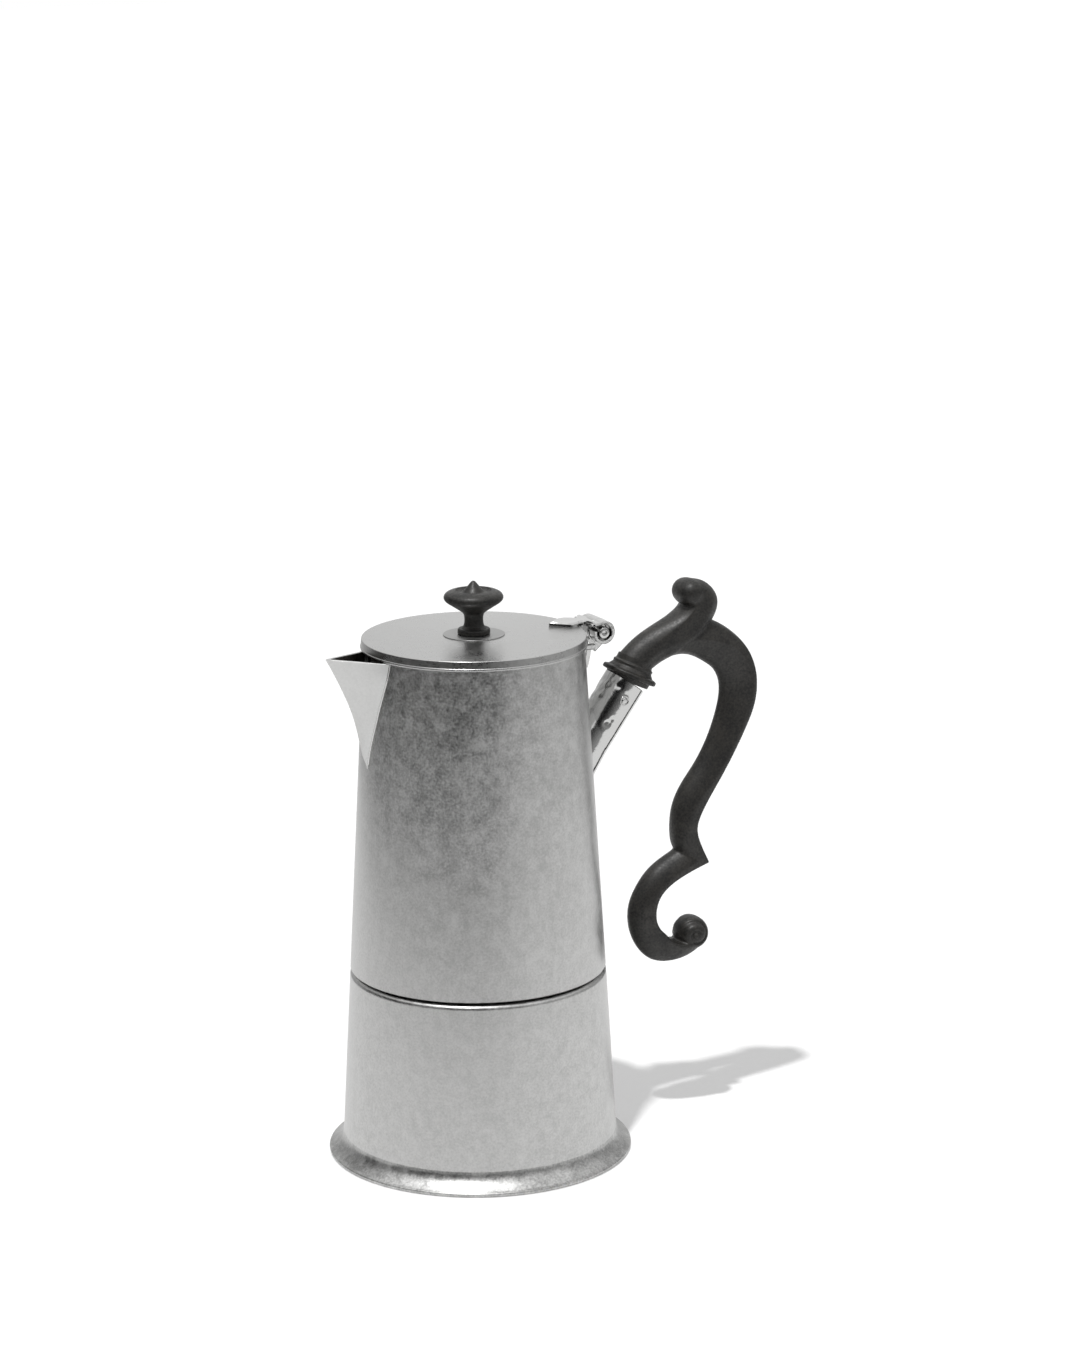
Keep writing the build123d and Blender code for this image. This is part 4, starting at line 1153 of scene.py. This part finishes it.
turned = [frame_grid(turn(outline, 40), rivet_place, (1, 0, 0), (0, 1, 0)) for outline in outlines]
rivet_grids = [(turned[0], False, True), (turned[1], True, True), (turned[2], True, True)]
piece("socket_rivet", rivet_grids, "upper_vessel", POLISHED, ["handle_pin"])

# %% [markdown]
# ## Handle
# The handle is carved. Its section is a D: a bulged face towards the pot, which ends in a crisp arris, and
# flat sides that draw in a little towards the back. One run of sections makes the arm and the thumb rest, a
# second the arch and the shaft, a third the scroll. One run for all would twist where the branches part. A
# boolean would join them with hard creases, so a fine voxel remesh fuses the closed shells and softens each
# crease a little, as a file and sandpaper would.

# %% Sections
ARRIS = math.radians(60)  # half angle of the bulge's arc: under 90 it leaves an arris


def d_sections(stations, rows, ring=48):
    """Closed D section at each step. A station is front x, z, back x, z, then half thickness and depth of
    the front bulge, and half thickness and depth of the back one, all measured from the socket's top."""
    s = spline(stations, rows)
    front, back = s[:, :2], s[:, 2:4]
    half, bulge, back_half, tail = (s[:, i][:, None] for i in (4, 5, 6, 7))
    length = np.linalg.norm(back - front, axis=1)[:, None]
    along = (back - front) / length
    arc = np.linspace(-ARRIS, ARRIS, ring // 2)[None, :]
    deep, wide = (1 - np.cos(arc)) / (1 - math.cos(ARRIS)), np.sin(arc) / math.sin(ARRIS)
    a = np.concatenate([bulge * deep, length - tail * deep], 1)
    b = np.concatenate([half * wide, -back_half * wide], 1)
    x = TOP[0] + front[:, :1] + a * along[:, :1]
    z = TOP[2] + front[:, 1:] + a * along[:, 1:]
    return closed_ends(np.stack([x, b, z], -1))


def ball(across, up, radius, half, power=2.5, rows=30, ring=48):
    """Rounded roll along Y: its radius falls off as (1 - |t|^power)^(1/power) towards its ends."""
    t = np.sin(np.linspace(-np.pi / 2, np.pi / 2, rows))[:, None]
    around = np.linspace(0, 2 * np.pi, ring, endpoint=False)[None, :]
    r = radius * np.clip(1 - np.abs(t) ** power, 0, 1) ** (1 / power)
    x, z = TOP[0] + across + r * np.cos(around), TOP[2] + up + r * np.sin(around)
    return np.stack([x, half * t + 0 * around, z], -1)


# %% Stations of the arm, the shaft and the scroll
NOTCH, SPUR = (20.2, -66.1), (32.3, -71.5)
arm = [
    (10.1, 3.4, -2.4, 9.4, 6.8, 6.2, 6.2, 5.0),
    (13.3, 5.2, 4.3, 15.1, 6.5, 6.0, 6.1, 4.5),
    (17.6, 7.0, 12.3, 19.5, 6.5, 5.6, 6.2, 3.8),
    (23.2, 9.4, 18.3, 22.3, 6.6, 4.2, 6.3, 3.0),
    (29.0, 13.0, 22.0, 24.6, 6.6, 4.2, 6.4, 2.4),
    (33.6, 18.0, 23.7, 25.8, 6.5, 4.6, 6.4, 1.6),
    (36.6, 23.2, 24.2, 26.6, 6.4, 5.0, 6.2, 1.4),
    (36.9, 27.4, 24.8, 27.8, 6.3, 4.8, 6.0, 1.4),
    (34.6, 31.6, 25.3, 28.9, 6.2, 4.0, 5.8, 1.4),
    (30.6, 34.4, 25.6, 29.8, 6.0, 3.0, 5.6, 1.2),
    (26.6, 35.3, 25.6, 30.4, 5.6, 2.4, 5.2, 1.2),
]
shaft = [
    (15.0, 6.4, 13.5, 16.0, 6.0, 5.8, 4.6, 2.0),
    (20.5, 7.5, 21.5, 20.2, 6.2, 6.0, 4.2, 2.0),
    (26.0, 6.8, 29.0, 20.8, 6.2, 6.9, 4.2, 1.6),
    (32.6, 3.2, 38.1, 17.6, 6.3, 9.4, 4.4, 1.2),
    (36.2, 0.1, 48.2, 8.4, 6.4, 10.9, 5.0, 0.9),
    (38.2, -4.1, 51.95, -2.4, 6.5, 11.4, 5.6, 0.8),
    (38.5, -9.3, 51.3, -11.8, 6.5, 10.8, 5.8, 0.7),
    (36.8, -17.2, 47.4, -21.6, 6.5, 9.2, 6.0, 0.7),
    (28.5, -34.6, 37.0, -39.7, 6.5, 7.5, 6.1, 0.7),
    (19.0, -52.3, 28.0, -54.8, 6.5, 5.2, 6.2, 0.7),
    (18.8, -61.9, 27.7, -60.6, 6.5, 4.6, 6.2, 0.7),
    (*NOTCH, *SPUR, 6.5, 7.6, 6.0, 0.8),
]
scroll = [
    (*NOTCH, *SPUR, 6.4, 7.6, 6.0, 0.8),
    (17.4, -67.6, 23.0, -75.0, 6.3, 6.4, 6.0, 0.7),
    (9.6, -72.6, 15.0, -79.3, 6.3, 6.2, 6.0, 0.6),
    (4.8, -78.4, 11.8, -82.9, 6.3, 6.3, 6.0, 0.6),
    (1.6, -85.0, 10.5, -87.1, 6.3, 7.2, 6.0, 0.6),
    (1.1, -92.0, 10.7, -91.3, 6.3, 8.0, 6.0, 0.6),
    (3.6, -100.0, 12.8, -95.0, 6.3, 8.8, 6.0, 0.6),
    (10.0, -106.9, 15.1, -97.3, 6.2, 9.0, 5.9, 0.6),
    (18.2, -108.6, 17.9, -100.1, 6.2, 7.2, 5.9, 0.6),
    (25.4, -107.0, 22.6, -101.0, 6.2, 5.0, 5.8, 0.6),
    (30.8, -102.9, 26.0, -100.0, 6.1, 4.6, 5.6, 0.6),
    (32.9, -97.0, 27.0, -98.4, 6.0, 4.6, 5.4, 0.6),
]

# %% Fused handle
VOXEL = 0.45
THUMB_CENTRE, THUMB_RADIUS, THUMB_HALF = (25.6, 30.4), 5.05, 7.0
SCROLL_CENTRE, SCROLL_RADIUS, SCROLL_HALF = (26.6, -98.6), 6.2, 6.9
SPIRAL_CORE = 0.6  # the groove stops this near its centre
SPIRAL_FACE = 2.5  # only points this far from the middle plane lie on a flat end
OUT_OF_REACH = 9.0


def fused(name, grids, voxel):
    """Closed shells become one skin: merged, remeshed at the voxel size and relaxed a little."""
    mesh = mesh_of(name, grids)
    finish_mesh(mesh)
    rough = place_mesh(name + "_rough", mesh, BLACK)
    remesh = rough.modifiers.new("remesh", "REMESH")
    remesh.mode = "VOXEL"
    remesh.voxel_size = voxel * MM
    relax = rough.modifiers.new("relax", "SMOOTH")
    relax.factor, relax.iterations = 0.5, 3
    made = bpy.data.meshes.new_from_object(rough.evaluated_get(bpy.context.evaluated_depsgraph_get()))
    bpy.data.objects.remove(rough)
    made.name = name
    return made


def carve_spiral(mesh, centre, radius, depth, width, turns):
    """A groove that winds in on both flat ends of the scroll: points near the line radius (1 - a / turns)
    sink towards the middle plane, by depth times a bell curve of their distance from it."""
    points = np.zeros(3 * len(mesh.vertices))
    mesh.vertices.foreach_get("co", points)
    p = points.reshape(-1, 3)
    x, z = p[:, 0] / MM - TOP[0] - centre[0], p[:, 2] / MM - TOP[2] - centre[1]
    far, angle = np.hypot(x, z), np.arctan2(z, -x) % (2 * np.pi)
    lines = [radius * (1 - (angle / (2 * np.pi) + k) / turns) for k in range(math.ceil(turns))]
    gaps = [np.where(line > SPIRAL_CORE, np.abs(far - line), OUT_OF_REACH) for line in lines]
    away = np.min(gaps, axis=0)
    inside = (far < radius + 1) & (np.abs(p[:, 1]) > SPIRAL_FACE * MM)
    p[:, 1] -= np.sign(p[:, 1]) * inside * depth * np.exp(-((away / width) ** 2)) * MM
    mesh.vertices.foreach_set("co", p.reshape(-1))


shells = [(d_sections(line, rows), False, True) for line, rows in ((arm, 120), (shaft, 150), (scroll, 120))]
shells.append((ball(*THUMB_CENTRE, THUMB_RADIUS, THUMB_HALF), False, True))
shells.append((ball(*SCROLL_CENTRE, SCROLL_RADIUS, SCROLL_HALF), False, True))
handle_mesh = fused("handle_body", shells, VOXEL)
carve_spiral(handle_mesh, SCROLL_CENTRE, radius=5.6, depth=0.9, width=0.6, turns=1.6)
piece("handle_body", handle_mesh, "upper_vessel", BLACK, ["handle"], 180)

# %% [markdown]
# ## Collar
# The handle ends in a turned collar that covers the socket's rim. The remesh would soften its crisp beads, so
# it is turned as a piece of its own. It leans less than the socket, as the arm does where it starts.

# %% Collar
COLLAR_LEAN = 25.5  # degrees from upright
COLLAR_SHIFT = (1.7, 0, 1.9)  # from the socket's top to the collar's middle
collar_outline = rounded(
    [
        (0, -2.4, 0),
        (8.0, -2.4, 0.2),
        (8.3, -0.8, 0.4),
        (10.2, -0.5, 0.5),
        (10.2, 1.0, 0.7),
        (8.5, 1.5, 0.5),
        (7.4, 2.9, 0.8),
        (7.6, 3.9, 0.35),
        (6.9, 4.5, 0.3),
        (6.7, 6.5, 0),
        (0, 6.5, 0),
    ],
    closed=False,
)
collar_lean = math.radians(COLLAR_LEAN)
collar_axis = (math.sin(collar_lean), 0, math.cos(collar_lean))
collar_grid = frame_grid(turn(collar_outline, 96), TOP + COLLAR_SHIFT, (0, 1, 0), collar_axis)
piece("handle_collar", [(collar_grid, False, True)], "upper_vessel", BLACK, ["handle"])

# %% [markdown]
# ## Finish
# The view layer is updated once more.

# %% Finish
bpy.context.view_layer.update()
